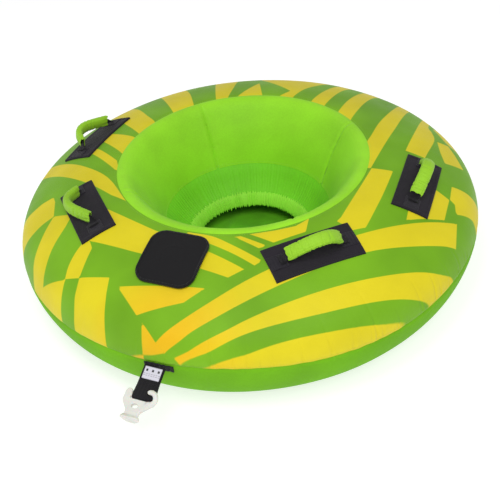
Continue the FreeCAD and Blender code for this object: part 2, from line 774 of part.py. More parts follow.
# ---------------------------------------------------------------- tow point


def strap_hinge():
    """The line that the strap swings on, just outside the webbing that sews it to the cover."""
    out = size("outer_radius") + size("cloth") + size("strap_play") + size("cloth")
    return FreeCAD.Vector(size("strap_centre"), -out, size("seam_height"))


def loop_section(sketch, radius, start_x, start_half):
    """One outline of the strap's loop: two straight sides that part and run tangent into a round end."""
    centre = -size("strap_length")
    slope = math.asin((number(radius) - start_half) / (abs(centre) - abs(start_x)))
    touch = number(radius)
    top = (centre + touch * math.sin(slope), touch * math.cos(slope))
    round_end = arc(sketch, (centre, 0), touch, 90 - math.degrees(slope), 270 + math.degrees(slope))
    upper = line(sketch, (start_x, start_half), top)
    lower = line(sketch, (top[0], -top[1]), (start_x, -start_half))
    join(sketch, "Tangent", upper, 2, round_end, 1)
    join(sketch, "Tangent", round_end, 2, lower, 1)
    pin_down(sketch, round_end, 3, "-Sizes.strap_length", "0")
    set_radius(sketch, round_end, radius)
    return upper, lower


def make_tow_strap():
    """A loop of webbing, both layers sewn together near the tube and open round the connector's crossbar."""
    body = doc.addObject("PartDesign::Body", "tow_strap")
    sketch = new_sketch(body, "strap_section", "YZ_Plane")
    sewn = -size("strap_sewn")
    thick = size("cloth")
    upper, lower = loop_section(sketch, "Sizes.loop_bore + Sizes.cloth", sewn, thick)
    top = line(sketch, (0, thick), (sewn, thick))
    root = arc(sketch, (0, 0), thick, -90, 90)
    bottom = line(sketch, (sewn, -thick), (0, -thick))
    join(sketch, "Coincident", top, 2, upper, 1)
    join(sketch, "Coincident", lower, 2, bottom, 1)
    join(sketch, "Coincident", root, 2, top, 1)
    join(sketch, "Coincident", bottom, 2, root, 1)
    pin_down(sketch, root, 3, "0", "0")
    set_radius(sketch, root, "Sizes.cloth")
    for end in (1, 2):
        sketch.addConstraint(Sketcher.Constraint("Vertical", root, 3, root, end))
    for flat in (top, bottom):
        sketch.addConstraint(Sketcher.Constraint("Horizontal", flat))
    pin_down(sketch, top, 2, "-Sizes.strap_sewn", None)
    pin_down(sketch, bottom, 1, "-Sizes.strap_sewn", None)
    inner_upper, inner_lower = loop_section(sketch, "Sizes.loop_bore", sewn - size("last_stitch"), 0)
    join(sketch, "Coincident", inner_lower, 2, inner_upper, 1)
    pin_down(sketch, inner_upper, 1, "-Sizes.strap_sewn - Sizes.last_stitch", "0")
    pad = body.newObject("PartDesign::Pad", "strap_width_pad")
    pad.Profile = sketch
    pad.Midplane = True
    bind(pad, Length="Sizes.strap_width")
    body.Tip = pad
    place = FreeCAD.Placement(strap_hinge(), FreeCAD.Rotation(SIDEWAYS, size("strap_droop")))
    body.Placement = place
    keep(body, "tow_strap")

    label = box("strap_label", "Sizes.label_width", "Sizes.label_length", "Sizes.label_thick")
    doc.recompute()
    label_middle = size("label_inset") + size("label_length") / 2
    on_strap = FreeCAD.Placement(FreeCAD.Vector(0, -label_middle, thick), FreeCAD.Rotation())
    label.Placement = place.multiply(on_strap).multiply(centred(label))
    keep(label, "strap_label")


def make_strap_anchor():
    """Cross webbing on the outer seam that the strap is sewn to, and a patch behind it inside the cover."""
    band = ring("anchor_band", "Sizes.outer_radius + Sizes.cloth", "Sizes.outer_radius",
                "Sizes.strap_anchor_height", "Sizes.seam_height - Sizes.strap_anchor_height / 2")
    stretch = box("anchor_stretch", "Sizes.strap_anchor_end - Sizes.strap_centre + Sizes.strap_width / 2",
                  str(BLOCK_LENGTH), "Sizes.crest_height")
    strap_left = size("strap_centre") - size("strap_width") / 2
    front = -size("outer_radius") - BLOCK_CLEAR
    stretch.Placement = FreeCAD.Placement(FreeCAD.Vector(strap_left, front, 0), FreeCAD.Rotation())
    keep(common("tow_strap_anchor", band, stretch), "tow_strap_anchor")

    layer = upper_layer("reinforcement_layer", "-Sizes.reinforcement_depth - Sizes.reinforcement_thick",
                        "-Sizes.reinforcement_depth")
    block = box("reinforcement_block", "Sizes.reinforcement_width", str(BLOCK_LENGTH),
                "Sizes.reinforcement_reach")
    patch_left = size("strap_centre") - size("reinforcement_width") / 2
    patch_foot = size("seam_height") + size("reinforcement_rise")
    block.Placement = FreeCAD.Placement(FreeCAD.Vector(patch_left, front, patch_foot), FreeCAD.Rotation())
    keep(common("tow_strap_reinforcement", layer, block), "tow_strap_reinforcement")


def make_connector():
    """A flat plastic plate with a crossbar in the strap's loop, an ear beside the strap, a horn over it, an
    eye, and a flanged foot that the rope's loop hooks behind. Its own X runs along the crossbar and its own -Y
    away from the tube."""
    body = doc.addObject("PartDesign::Body", "connector_plate")
    sketch = new_sketch(body, "plate_outline", "XY_Plane")
    left = "-Sizes.connector_shift - Sizes.shoulder_width / 2"
    right = "-Sizes.connector_shift + Sizes.shoulder_width / 2"
    neck_left = "-Sizes.connector_shift - Sizes.neck_width / 2"
    neck_right = "-Sizes.connector_shift + Sizes.neck_width / 2"
    ear_inside = left + " + 2 * Sizes.ear_radius"
    start = "-Sizes.shoulder_start"
    shoulder_end = "-Sizes.shoulder_start - Sizes.shoulder_length"
    neck_start = "-Sizes.neck_end + Sizes.neck_straight"
    polygon(sketch, [
        (left, "Sizes.ear_reach"),
        (left, shoulder_end),
        (neck_left, neck_start),
        (neck_left, "-Sizes.neck_end"),
        (neck_right, "-Sizes.neck_end"),
        (neck_right, neck_start),
        (right, shoulder_end),
        (right, start),
        (ear_inside, start),
        (ear_inside, "Sizes.ear_reach"),
    ])
    plate = body.newObject("PartDesign::Pad", "plate_pad")
    plate.Profile = sketch
    plate.Midplane = True
    bind(plate, Length="Sizes.connector_thick")
    body.Tip = plate
    doc.recompute()
    eye_sketch = new_sketch(body, "eye_outline", "XY_Plane")
    middle = number("-Sizes.connector_shift")
    place = -size("eye_place")
    half = size("eye_half_length") - size("eye_radius")
    radius = size("eye_radius")
    left_end = arc(eye_sketch, (middle - half, place), radius, 90, 270)
    right_end = arc(eye_sketch, (middle + half, place), radius, -90, 90)
    over = line(eye_sketch, (middle + half, place + radius), (middle - half, place + radius))
    under = line(eye_sketch, (middle - half, place - radius), (middle + half, place - radius))
    join(eye_sketch, "Tangent", over, 2, left_end, 1)
    join(eye_sketch, "Tangent", left_end, 2, under, 1)
    join(eye_sketch, "Tangent", under, 2, right_end, 1)
    join(eye_sketch, "Tangent", right_end, 2, over, 1)
    reach = "(Sizes.eye_half_length - Sizes.eye_radius)"
    pin_down(eye_sketch, left_end, 3, "-Sizes.connector_shift - " + reach, "-Sizes.eye_place")
    pin_down(eye_sketch, right_end, 3, "-Sizes.connector_shift + " + reach, "-Sizes.eye_place")
    set_radius(eye_sketch, left_end, "Sizes.eye_radius")
    eye = body.newObject("PartDesign::Pocket", "eye")
    eye.Profile = eye_sketch
    eye.Type = "ThroughAll"
    eye.Midplane = True
    body.Tip = eye

    crossbar = bind(doc.addObject("Part::Cylinder", "crossbar"), Radius="Sizes.crossbar_radius",
                    Height="Sizes.connector_shift + Sizes.shoulder_width / 2 + Sizes.crossbar_reach")
    bar_start = FreeCAD.Vector(number(left) + size("crossbar_inset"), 0, 0)
    crossbar.Placement = FreeCAD.Placement(bar_start, FreeCAD.Rotation(FreeCAD.Vector(0, 1, 0), 90))

    horn_width = "Sizes.shoulder_width / 2 - Sizes.horn_inset"
    horn_left = number(right) - number(horn_width)
    horn_end = number(shoulder_end)
    horn = box("horn_plate", horn_width, "Sizes.ear_reach - (%s)" % shoulder_end, "Sizes.horn_thick")
    horn.Placement = FreeCAD.Placement(FreeCAD.Vector(horn_left, horn_end, size("horn_gap")),
                                       FreeCAD.Rotation())
    plate_top = size("connector_thick") / 2
    horn_foot = box("horn_foot", horn_width, "Sizes.shoulder_length",
                    "Sizes.horn_gap - Sizes.connector_thick / 2 + 2 * Sizes.sink")
    horn_foot.Placement = FreeCAD.Placement(FreeCAD.Vector(horn_left, horn_end, plate_top - size("sink")),
                                            FreeCAD.Rotation())

    foot = box("connector_foot", "Sizes.foot_width", "Sizes.foot_length", "Sizes.foot_thick")
    foot.Placement = FreeCAD.Placement(
        FreeCAD.Vector(middle - size("foot_width") / 2, -size("neck_end") - size("foot_length"),
                       -size("foot_thick") / 2), FreeCAD.Rotation())
    blank = fuse("connector_blank", [body, crossbar, horn, horn_foot, foot])
    blank.Refine = True
    doc.recompute()
    ear_corner = size("ear_radius") - 0.5
    foot_end = -size("neck_end") - size("foot_length")
    left_side = number(left)
    corners = []
    for index, edge in enumerate(blank.Shape.Edges, start=1):
        place = edge.valueAt((edge.FirstParameter + edge.LastParameter) / 2)
        upright = edge.Curve.TypeId == "Part::GeomLine" and abs(edge.tangentAt(edge.FirstParameter).z) > 0.99
        if not upright:
            continue
        if place.y > size("ear_reach") - 1:
            corners.append((index, ear_corner, ear_corner))
        elif place.y < foot_end + 1:
            corners.append((index, size("foot_corner"), size("foot_corner")))
        elif place.x < left_side + 1:
            corners.append((index, size("shoulder_corner"), size("shoulder_corner")))
    rounded = doc.addObject("Part::Fillet", "tow_connector")
    rounded.Base = blank
    rounded.Edges = corners
    droop = FreeCAD.Rotation(SIDEWAYS, size("strap_droop"))
    loop = droop.multVec(FreeCAD.Vector(0, -size("strap_length"), 0))
    rounded.Placement = FreeCAD.Placement(strap_hinge() + loop,
                                          FreeCAD.Rotation(SIDEWAYS, size("connector_droop")))
    keep(rounded, "tow_connector")


# ---------------------------------------------------------------- build and write

make_top_cover()
make_bottom_cover()
make_floor_panel()
make_well_panels()
make_well_skirt()
make_seam_tapes()
make_bladder()
make_valve()
make_flap()
make_handle_pads()
make_handles()
make_tow_strap()
make_strap_anchor()
make_connector()
doc.recompute()

for item in doc.Objects:
    if "Invalid" in item.State or "Error" in item.State:
        raise RuntimeError("failed object: " + item.Name + " " + str(item.State))
os.makedirs("parts", exist_ok=True)
for item in parts:
    if item.Shape.isNull() or not item.Shape.isValid() or not item.Shape.Solids:
        raise RuntimeError("bad shape: " + item.Label)
    item.Shape.exportStep("parts/" + item.Label + ".step")
print(len(parts), "sub-parts written")
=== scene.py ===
import json
import math
from contextlib import contextmanager

import bmesh
import bpy
import numpy as np
from mathutils import Matrix, Vector


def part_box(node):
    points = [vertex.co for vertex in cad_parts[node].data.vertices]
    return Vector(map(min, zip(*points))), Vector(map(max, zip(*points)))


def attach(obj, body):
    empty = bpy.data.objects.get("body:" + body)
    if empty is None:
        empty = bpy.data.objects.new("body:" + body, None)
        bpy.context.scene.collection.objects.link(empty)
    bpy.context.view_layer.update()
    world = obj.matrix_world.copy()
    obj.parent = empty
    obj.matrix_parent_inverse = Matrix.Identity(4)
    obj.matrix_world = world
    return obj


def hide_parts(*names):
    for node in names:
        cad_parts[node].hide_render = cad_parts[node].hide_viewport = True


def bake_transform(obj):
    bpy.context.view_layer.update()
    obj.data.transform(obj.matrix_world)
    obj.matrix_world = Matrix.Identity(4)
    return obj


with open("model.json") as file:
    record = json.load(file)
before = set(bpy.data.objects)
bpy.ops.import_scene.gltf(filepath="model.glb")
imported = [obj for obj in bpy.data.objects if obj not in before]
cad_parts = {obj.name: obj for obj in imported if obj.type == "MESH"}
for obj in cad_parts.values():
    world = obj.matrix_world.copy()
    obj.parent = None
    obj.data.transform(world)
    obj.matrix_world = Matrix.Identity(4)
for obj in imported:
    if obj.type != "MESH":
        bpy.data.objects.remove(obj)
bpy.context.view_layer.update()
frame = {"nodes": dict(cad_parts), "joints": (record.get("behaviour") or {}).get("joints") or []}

# A towable tube for one rider: printed cover over an inflated ring, lime seat well, four padded
# handles, a flap over the valve, and a tow strap with a quick connector. Metres, +Z up, the tow side
# towards -Y.

# section of the tube, the same as the CAD model's
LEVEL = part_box("top_cover")[0].z            # height of the outer seam
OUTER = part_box("bottom_cover")[1].x         # radius there
CREST_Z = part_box("well_panel_front")[1].z
CREST = 0.312                               # radius of the highest ring
RIM = 0.330                                 # seam between the print and the well
BASE = 0.427                                # edge of the flat underside
LAP = 0.240                                 # inner edge of the bottom cover
UPPER_END = 0.100
LOWER_END = 0.140
WAIST = (0.223, 0.154)                      # radius and height of the seam in the well
SKIRT_FOOT = (0.170, 0.080)
HEM_EDGE = (0.152, 0.052)
FLOOR_Z = 0.0036

HANDLES = {
    # name: side, angle round the tube, distance from its axis, lean outwards, sideways slump of its top
    "front_left": (-1, 43.9, 0.426, 70, -0.013),
    "front_right": (1, 43.9, 0.426, 20, 0.010),
    "rear_left": (-1, 92.6, 0.458, 60, 0.010),
    "rear_right": (1, 92.6, 0.458, 5, 0.004),
}
HANDLE_SPAN = 0.119                         # along the tube, between a handle's ends
HANDLE_RISE = 0.034                         # a handle's middle over its hinge line
HANDLE_LIFT = 0.0215                        # the hinge line over the cover
PAD = (0.218, 0.093)                        # length and width
PAD_TOP = 0.0044                            # heights over the cover
ANCHOR_TOP = 0.0066
ANCHOR = (0.040, 0.038)                     # the patches of webbing sewn to a pad
ANCHOR_FROM_END = 0.023                     # from the pad's end to a patch's middle
VALVE_RADIUS = 0.420                        # from the tube's axis to the valve's
VALVE_HOLE = 0.027                          # hole in the cover over the valve
HOLE_BAND = 0.0045                          # points this near its edge move on to it
SEAM_DRAW = 0.0026                          # how far the outer seam's stitching draws the cloth in
DEEPEST = 0.0042                            # deepest dent in the covers
FULLNESS = 0.0075                           # how far the lower cover bulges past the CAD's section
WALL_LENGTH = 0.205                         # the well's wall along the cloth, rim seam to waist seam
FLOOR_RADIUS = 0.262

# ---------------------------------------------------------------- camera, light and floor


def make_camera():
    data = bpy.data.cameras.new("camera")
    data.lens = 56.75
    data.sensor_width = 36
    camera = bpy.data.objects.new("camera", data)
    bpy.context.scene.collection.objects.link(camera)
    azimuth, elevation, roll = (math.radians(a) for a in (25.7, 38.9, -6.27))
    back = Vector((math.sin(azimuth) * math.cos(elevation), -math.cos(azimuth) * math.cos(elevation),
                   math.sin(elevation)))
    right = Vector((math.cos(azimuth), math.sin(azimuth), 0))
    axes = Matrix((right, back.cross(right), back)).transposed()
    turned = axes @ Matrix.Rotation(roll, 3, "Z")
    camera.matrix_world = Matrix.Translation((0.7572, -1.5888, 1.4242)) @ turned.to_4x4()
    bpy.context.scene.camera = camera


def area_light(name, place, target, size, power, colour=(1, 1, 1)):
    data = bpy.data.lights.new(name, "AREA")
    data.shape = "DISK"
    data.size = size
    data.energy = power
    data.color = colour
    lamp = bpy.data.objects.new(name, data)
    bpy.context.scene.collection.objects.link(lamp)
    lamp.location = place
    lamp.rotation_mode = "QUATERNION"
    lamp.rotation_quaternion = (Vector(target) - Vector(place)).to_track_quat("-Z", "Y")


make_camera()

# ---------------------------------------------------------------- materials


def linear(code):
    """A web colour as linear red, green and blue."""
    parts = [int(code[i:i + 2], 16) / 255 for i in (1, 3, 5)]
    return tuple(p / 12.92 if p <= 0.04045 else ((p + 0.055) / 1.055) ** 2.4 for p in parts) + (1,)


class Nodes:
    """A material and a short way to add nodes to it."""

    def __init__(self, name):
        self.material = bpy.data.materials.new(name)
        self.material.use_nodes = True
        self.tree = self.material.node_tree
        self.shader = self.tree.nodes["Principled BSDF"]

    def add(self, kind, *inputs, **settings):
        node = self.tree.nodes.new("ShaderNode" + kind)
        for key, value in settings.items():
            setattr(node, key, value)
        for i, value in enumerate(inputs):
            self.plug(value, node.inputs[i])
        return node

    def plug(self, value, socket):
        if value is None:
            return
        if isinstance(value, bpy.types.NodeSocket):
            self.tree.links.new(value, socket)
        else:
            socket.default_value = value

    def math(self, operation, a, b=None, clamp=False):
        return self.add("Math", a, b, operation=operation, use_clamp=clamp).outputs[0]

    def noise(self, place, scale, detail=3.0, stretch=None):
        if stretch is not None:
            place = self.add("VectorMath", place, stretch, operation="MULTIPLY").outputs[0]
        node = self.add("TexNoise")
        self.plug(place, node.inputs["Vector"])
        node.inputs["Scale"].default_value = scale
        node.inputs["Detail"].default_value = detail
        return node.outputs[0]

    def ramp(self, value, low, high, to_low=0.0, to_high=1.0):
        node = self.add("MapRange", value, low, high, to_low, to_high)
        return node.outputs[0]

    def mix(self, factor, a, b, blend="MIX"):
        node = self.tree.nodes.new("ShaderNodeMix")
        node.data_type = "RGBA"
        node.blend_type = blend
        self.plug(factor, node.inputs["Factor"])
        self.plug(a, node.inputs[6])
        self.plug(b, node.inputs[7])
        return node.outputs[2]

    def brighten(self, colour, amount):
        """A colour times a grey amount."""
        grey = self.add("CombineColor", amount, amount, amount).outputs[0]
        return self.mix(1.0, colour, grey, "MULTIPLY")

    def bump(self, height, distance, strength=1.0, normal=None):
        node = self.add("Bump")
        node.inputs["Strength"].default_value = strength
        node.inputs["Distance"].default_value = distance
        self.plug(height, node.inputs["Height"])
        if normal is not None:
            self.plug(normal, node.inputs["Normal"])
        return node.outputs[0]

    def threads(self, place, pitch):
        """Height of a plain weave: threads that go over and under each other, pitch metres apart."""
        turned = self.add("VectorMath", place, (math.pi / pitch,) * 3, operation="MULTIPLY").outputs[0]
        split = self.add("SeparateXYZ", turned).outputs
        across, along = self.math("SINE", split[0]), self.math("SINE", split[1])
        return self.math("MULTIPLY", across, along)

    def finish(self, colour, roughness, **more):
        self.plug(colour, self.shader.inputs["Base Color"])
        self.plug(roughness, self.shader.inputs["Roughness"])
        for key, value in more.items():
            self.plug(value, self.shader.inputs[key.replace("_", " ")])
        return self.material


def cloth_place(n):
    """Metres along the cloth, from the map that each sewn piece carries."""
    return n.add("UVMap", uv_map="cloth").outputs[0]


def woven(name, colour, dark, pitch=0.0016, roughness=0.55, sheen=0.05, depth=0.00022, spread=0.10,
          specular=0.3):
    """Woven cloth of one colour: threads in the bump, a cloudy change of shade, and faint specks."""
    n = Nodes(name)
    where = n.add("TexCoord").outputs["Object"]
    cloud = n.noise(where, 7, 4)
    speckle = n.noise(where, 260, 2)
    shade = n.math("ADD", n.ramp(cloud, 0.35, 0.65, 1 - spread, 1 + spread / 2),
                   n.ramp(speckle, 0.3, 0.7, -0.04, 0.04))
    weave = n.threads(cloth_place(n), pitch)
    tone = n.mix(n.ramp(weave, -1, 1, 0.0, 0.22), colour, dark)
    rough = n.ramp(cloud, 0.3, 0.7, roughness - 0.05, roughness + 0.07)
    soft = n.bump(n.noise(where, 55, 3), 0.0012, 0.35)
    normal = n.bump(weave, depth, 0.6, soft)
    return n.finish(n.brighten(tone, shade), rough, Normal=normal, Sheen_Weight=sheen, Sheen_Roughness=0.5,
                    Sheen_Tint=(1, 1, 1, 1), Specular_IOR_Level=specular)


def printed(name):
    """The printed top: yellow where the mark on the mesh says so, green elsewhere, both a little uneven."""
    n = Nodes(name)
    where = n.add("TexCoord").outputs["Object"]
    inside = n.ramp(n.add("Attribute", attribute_name="print").outputs["Fac"], -0.0006, 0.0006)
    strap = n.add("VectorMath", where, (0.05, -0.58, 0.2), operation="DISTANCE").outputs["Value"]
    golden = n.ramp(strap, 0.03, 0.20, 0.85, 0.0)
    yellow = n.mix(golden, linear("#D9CA1A"), linear("#E8B20E"))
    green = n.mix(n.ramp(n.noise(where, 5, 2), 0.35, 0.65), linear("#6BA212"), linear("#77B016"))
    colour = n.mix(inside, green, yellow)
    cloud = n.ramp(n.noise(where, 9, 4), 0.3, 0.7, 0.93, 1.05)
    weave = n.threads(cloth_place(n), 0.0016)
    tone = n.math("MULTIPLY", cloud, n.ramp(weave, -1, 1, 0.95, 1.03))
    rough = n.ramp(n.noise(where, 14, 3), 0.3, 0.7, 0.48, 0.6)
    soft = n.bump(n.noise(where, 40, 3), 0.0012, 0.3)
    return n.finish(n.brighten(colour, tone), rough, Normal=n.bump(weave, 0.0002, 0.6, soft),
                    Sheen_Weight=0.03, Sheen_Roughness=0.5, Specular_IOR_Level=0.2)


def webbing(name, colour, rib=0.0022):
    """Webbing: close ribs across the strip with a herringbone step, and a dry sheen."""
    n = Nodes(name)
    where = n.add("TexCoord").outputs["Object"]
    split = n.add("SeparateXYZ", cloth_place(n)).outputs
    zigzag = n.math("PINGPONG", split[0], 0.004)
    ribs = n.math("SINE", n.math("MULTIPLY", n.math("ADD", split[1], zigzag), 2 * math.pi / rib))
    fine = n.math("SINE", n.math("MULTIPLY", split[0], 2 * math.pi / 0.0012))
    height = n.math("ADD", ribs, n.math("MULTIPLY", fine, 0.35))
    shade = n.math("MULTIPLY", n.ramp(height, -1.3, 1.3, 0.6, 1.35),
                   n.ramp(n.noise(where, 60, 3), 0.3, 0.7, 0.85, 1.15))
    return n.finish(n.brighten(colour, shade), n.ramp(n.noise(where, 30, 2), 0.3, 0.7, 0.5, 0.68),
                    Normal=n.bump(height, 0.0005, 0.7), Sheen_Weight=0.06, Sheen_Roughness=0.4,
                    Specular_IOR_Level=0.22)


def moulded(name, colour, roughness, grain=0.00006, **more):
    """Moulded plastic: fine grain, faint flow marks and a few dull rubs."""
    n = Nodes(name)
    where = n.add("TexCoord").outputs["Object"]
    shade = n.ramp(n.noise(where, 30, 4), 0.3, 0.7, 0.93, 1.04)
    rubbed = n.ramp(n.noise(where, 90, 5), 0.42, 0.62, roughness, roughness + 0.12)
    return n.finish(n.brighten(colour, shade), rubbed,
                    Normal=n.bump(n.noise(where, 700, 2), grain, 0.5), **more)


def label_print(name):
    """The strap's label: pale cloth with a border, three plain squares and two rows of dashes. Nothing
    to read."""
    n = Nodes(name)
    split = n.add("SeparateXYZ", cloth_place(n)).outputs

    def near(value, middle, half):
        return n.math("LESS_THAN", n.math("ABSOLUTE", n.math("SUBTRACT", value, middle)), half)

    def both(a, b):
        return n.math("MULTIPLY", a, b)

    third = n.math("PINGPONG", split[0], 0.007)
    squares = both(n.math("GREATER_THAN", third, 0.0046), near(split[1], 0.0085, 0.0026))
    dash = n.math("GREATER_THAN", n.math("PINGPONG", split[0], 0.003), 0.0009)
    rows = both(dash, n.math("ADD", near(split[1], 0.0165, 0.0007), near(split[1], 0.0205, 0.0007),
                             clamp=True))
    inside = both(near(split[0], 0.021, 0.0195), near(split[1], 0.0143, 0.0128))
    ink = both(inside, n.math("ADD", squares, n.math("MULTIPLY", rows, 0.45), clamp=True))
    edge = n.math("MULTIPLY", n.math("SUBTRACT", 1.0, inside), 0.16)
    colour = n.mix(n.math("ADD", ink, edge, clamp=True), linear("#CFCDDA"), linear("#2A2A30"))
    weave = n.threads(cloth_place(n), 0.0009)
    return n.finish(colour, 0.55, Normal=n.bump(weave, 0.0001, 0.5), Specular_IOR_Level=0.3)


def fuzzy(name, colour, loops):
    """Hook or loop tape: rows of small hooks or a tangle of loops."""
    n = Nodes(name)
    where = n.add("TexCoord").outputs["Object"]
    cells = n.add("TexVoronoi", where, None, loops).outputs["Distance"]
    return n.finish(n.brighten(colour, n.ramp(cells, 0.0, 0.6, 1.5, 0.5)), 0.9,
                    Normal=n.bump(cells, 0.0009, 0.9), Sheen_Weight=0.4)


printed_cloth = printed("printed_cloth")
# the well's lime nylon, painted lighter than the same nylon on the underside: painted light standing in for
# the bright bounced light inside the well
lit_well_cloth = woven("lit_well_cloth", linear("#96DC28"), linear("#78C01C"), specular=0.2)
under_cloth = woven("under_cloth", linear("#72B41C"), linear("#589A14"), roughness=0.72, sheen=0.0,
                    specular=0.1)
skirt_cloth = woven("skirt_cloth", linear("#78CE1E"), linear("#58AA14"))
# the hem: the same lime nylon painted lighter still, a painted highlight where the hem faces up towards the
# light
hem_cloth = woven("hem_cloth", linear("#98E23C"), linear("#78C828"))
floor_cloth = woven("floor_cloth", linear("#62B41A"), linear("#45900E"), spread=0.25)
sleeve_cloth = woven("sleeve_cloth", linear("#92C822"), linear("#70A418"), pitch=0.0013, sheen=0.08)
pad_cloth = woven("pad_cloth", linear("#242028"), linear("#151219"), pitch=0.0018, roughness=0.72,
                  sheen=0.06, depth=0.0004, spread=0.2, specular=0.2)
flap_cloth = woven("flap_cloth", linear("#0E0D10"), linear("#070608"), pitch=0.0016, roughness=0.66,
                   sheen=0.05, depth=0.0003, spread=0.15, specular=0.22)
black_webbing = webbing("black_webbing", linear("#19171C"))
anchor_webbing = webbing("anchor_webbing", linear("#27242C"))
binding = webbing("binding_tape", linear("#101012"), rib=0.0014)
black_thread = moulded("black_thread", linear("#26242A"), 0.6)
lime_thread = moulded("lime_thread", linear("#A4DC62"), 0.6)
label_cloth = label_print("label_cloth")
milky = moulded("milky_nylon", linear("#DCDCD6"), 0.36, Subsurface_Weight=0.2, Subsurface_Scale=0.005,
                Coat_Weight=0.1)
black_plastic = moulded("black_plastic", linear("#2B2B2D"), 0.38)
black_rubber = moulded("black_rubber", linear("#1C1C1D"), 0.62)
vinyl = moulded("black_vinyl", linear("#2E2E31"), 0.45)
loop_tape = fuzzy("loop_tape", linear("#1C1A1E"), 1300)
hook_tape = fuzzy("hook_tape", linear("#1A191C"), 800)

# ---------------------------------------------------------------- meshes


def mesh_object(name, vertices, faces, material, marks=None, cloth=None):
    """A new object. Cloth gives each corner of each face its place on the cloth, in metres."""
    mesh = bpy.data.meshes.new(name)
    mesh.from_pydata([tuple(v) for v in vertices], [], [tuple(f) for f in faces])
    mesh.materials.append(material)
    mesh.polygons.foreach_set("use_smooth", [True] * len(mesh.polygons))
    if marks is not None:
        layer = mesh.attributes.new("print", "FLOAT", "POINT")
        layer.data.foreach_set("value", np.asarray(marks, np.float32).ravel())
    if cloth is not None:
        layer = mesh.uv_layers.new(name="cloth")
        layer.data.foreach_set("uv", np.asarray(cloth, np.float32).ravel())
    mesh.validate()
    thing = bpy.data.objects.new(name, mesh)
    bpy.context.scene.collection.objects.link(thing)
    return thing


def grid_faces(rows, columns, closed=False, flip=False):
    """Corners of the quads of a grid of points, row by row, and each corner's (row, column) before
    closing."""
    faces, places = [], []
    wide = columns if closed else columns - 1
    for i in range(rows - 1):
        for j in range(wide):
            ring = [(i, j), (i, j + 1), (i + 1, j + 1), (i + 1, j)]
            if flip:
                ring.reverse()
            faces.append([r * columns + c % columns for r, c in ring])
            places.append(ring)
    return faces, places


def grid_object(name, points, material, across, along, closed=False, flip=False, marks=None, drop=None):
    """A piece from a grid of points (rows, columns, 3). Across and along are the cloth's metres at each
    column and row, as functions of the row and column numbers. Drop is a grid of points to leave out."""
    rows, columns = points.shape[:2]
    faces, places = grid_faces(rows, columns, closed, flip)
    if drop is not None:
        gone = drop.ravel()
        kept = [i for i, f in enumerate(faces) if not any(gone[k] for k in f)]
        faces, places = [faces[i] for i in kept], [places[i] for i in kept]
    cloth = [(across(r, c), along(r, c)) for ring in places for r, c in ring]
    thing = mesh_object(name, points.reshape(-1, 3), faces, material, marks, cloth)
    if drop is not None:
        with reworked(thing) as work:
            bmesh.ops.delete(work, geom=[v for v in work.verts if not v.link_faces], context="VERTS")
    return thing


@contextmanager
def reworked(thing):
    """The piece's mesh to change, written back when the block ends."""
    work = bmesh.new()
    work.from_mesh(thing.data)
    yield work
    work.to_mesh(thing.data)
    work.free()


def modify(thing, kind, **settings):
    """Add a modifier."""
    modifier = thing.modifiers.new(kind.lower(), kind)
    for key, value in settings.items():
        setattr(modifier, key, value)


def apply_all(thing):
    """Make the modifiers' result the object's own mesh."""
    bpy.context.view_layer.update()
    graph = bpy.context.evaluated_depsgraph_get()
    mesh = bpy.data.meshes.new_from_object(thing.evaluated_get(graph))
    thing.modifiers.clear()
    old = thing.data
    thing.data = mesh
    bpy.data.meshes.remove(old)


def thicken(thing, thickness, offset):
    """Turn a sheet into a rounded slab."""
    modify(thing, "SOLIDIFY", thickness=thickness, offset=offset)
    modify(thing, "SUBSURF", levels=1, render_levels=1)
    apply_all(thing)


def seat(thing, body, slot, *nodes):
    """Ride a body and stand for CAD nodes. The slot is not used."""
    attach(thing, body)
    if nodes:
        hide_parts(*nodes)
    return thing


def spline(points, steps=4, closed=False):
    """A smooth line through points, the same number of steps between each two."""
    given = np.asarray(points, float)
    count = len(given)
    if count < 3:
        return given
    spans = count if closed else count - 1
    result = []
    for i in range(spans):
        if closed:
            a, b, c, d = (given[(i + k) % count] for k in (-1, 0, 1, 2))
        else:
            b, c = given[i], given[i + 1]
            a = given[i - 1] if i else 2 * b - c
            d = given[i + 2] if i + 2 < count else 2 * c - b
        for k in range(steps):
            t = k / steps
            result.append(0.5 * (2 * b + (c - a) * t + (2 * a - 5 * b + 4 * c - d) * t ** 2
                                 + (3 * b - a - 3 * c + d) * t ** 3))
    if not closed:
        result.append(given[-1])
    return np.array(result)


def evenly(path, count, closed=False):
    """Points the same distance apart along a line, and their distances from its start."""
    line = np.asarray(path, float)
    if closed:
        line = np.vstack([line, line[:1]])
    steps = np.linalg.norm(np.diff(line, axis=0), axis=1)
    travelled = np.concatenate([[0], np.cumsum(steps)])
    wanted = np.linspace(0, travelled[-1], count, endpoint=not closed)
    points = np.stack([np.interp(wanted, travelled, line[:, k]) for k in range(line.shape[1])], axis=1)
    return points, wanted


def spaced(start, *stretches):
    """Values in stretches of even spacing. A stretch is its end and its number of values, both ends
    counted."""
    values = [start]
    for end, count in stretches:
        values.extend(np.linspace(values[-1], end, count)[1:])
    return np.array(values)


def full_turn(count):
    """Angles spaced evenly round a circle."""
    return np.arange(count) * 2 * math.pi / count


def bell(x, width):
    """1 at zero, and next to nothing two widths away."""
    return np.exp(-(x / width) ** 2)


# ---------------------------------------------------------------- section of the tube


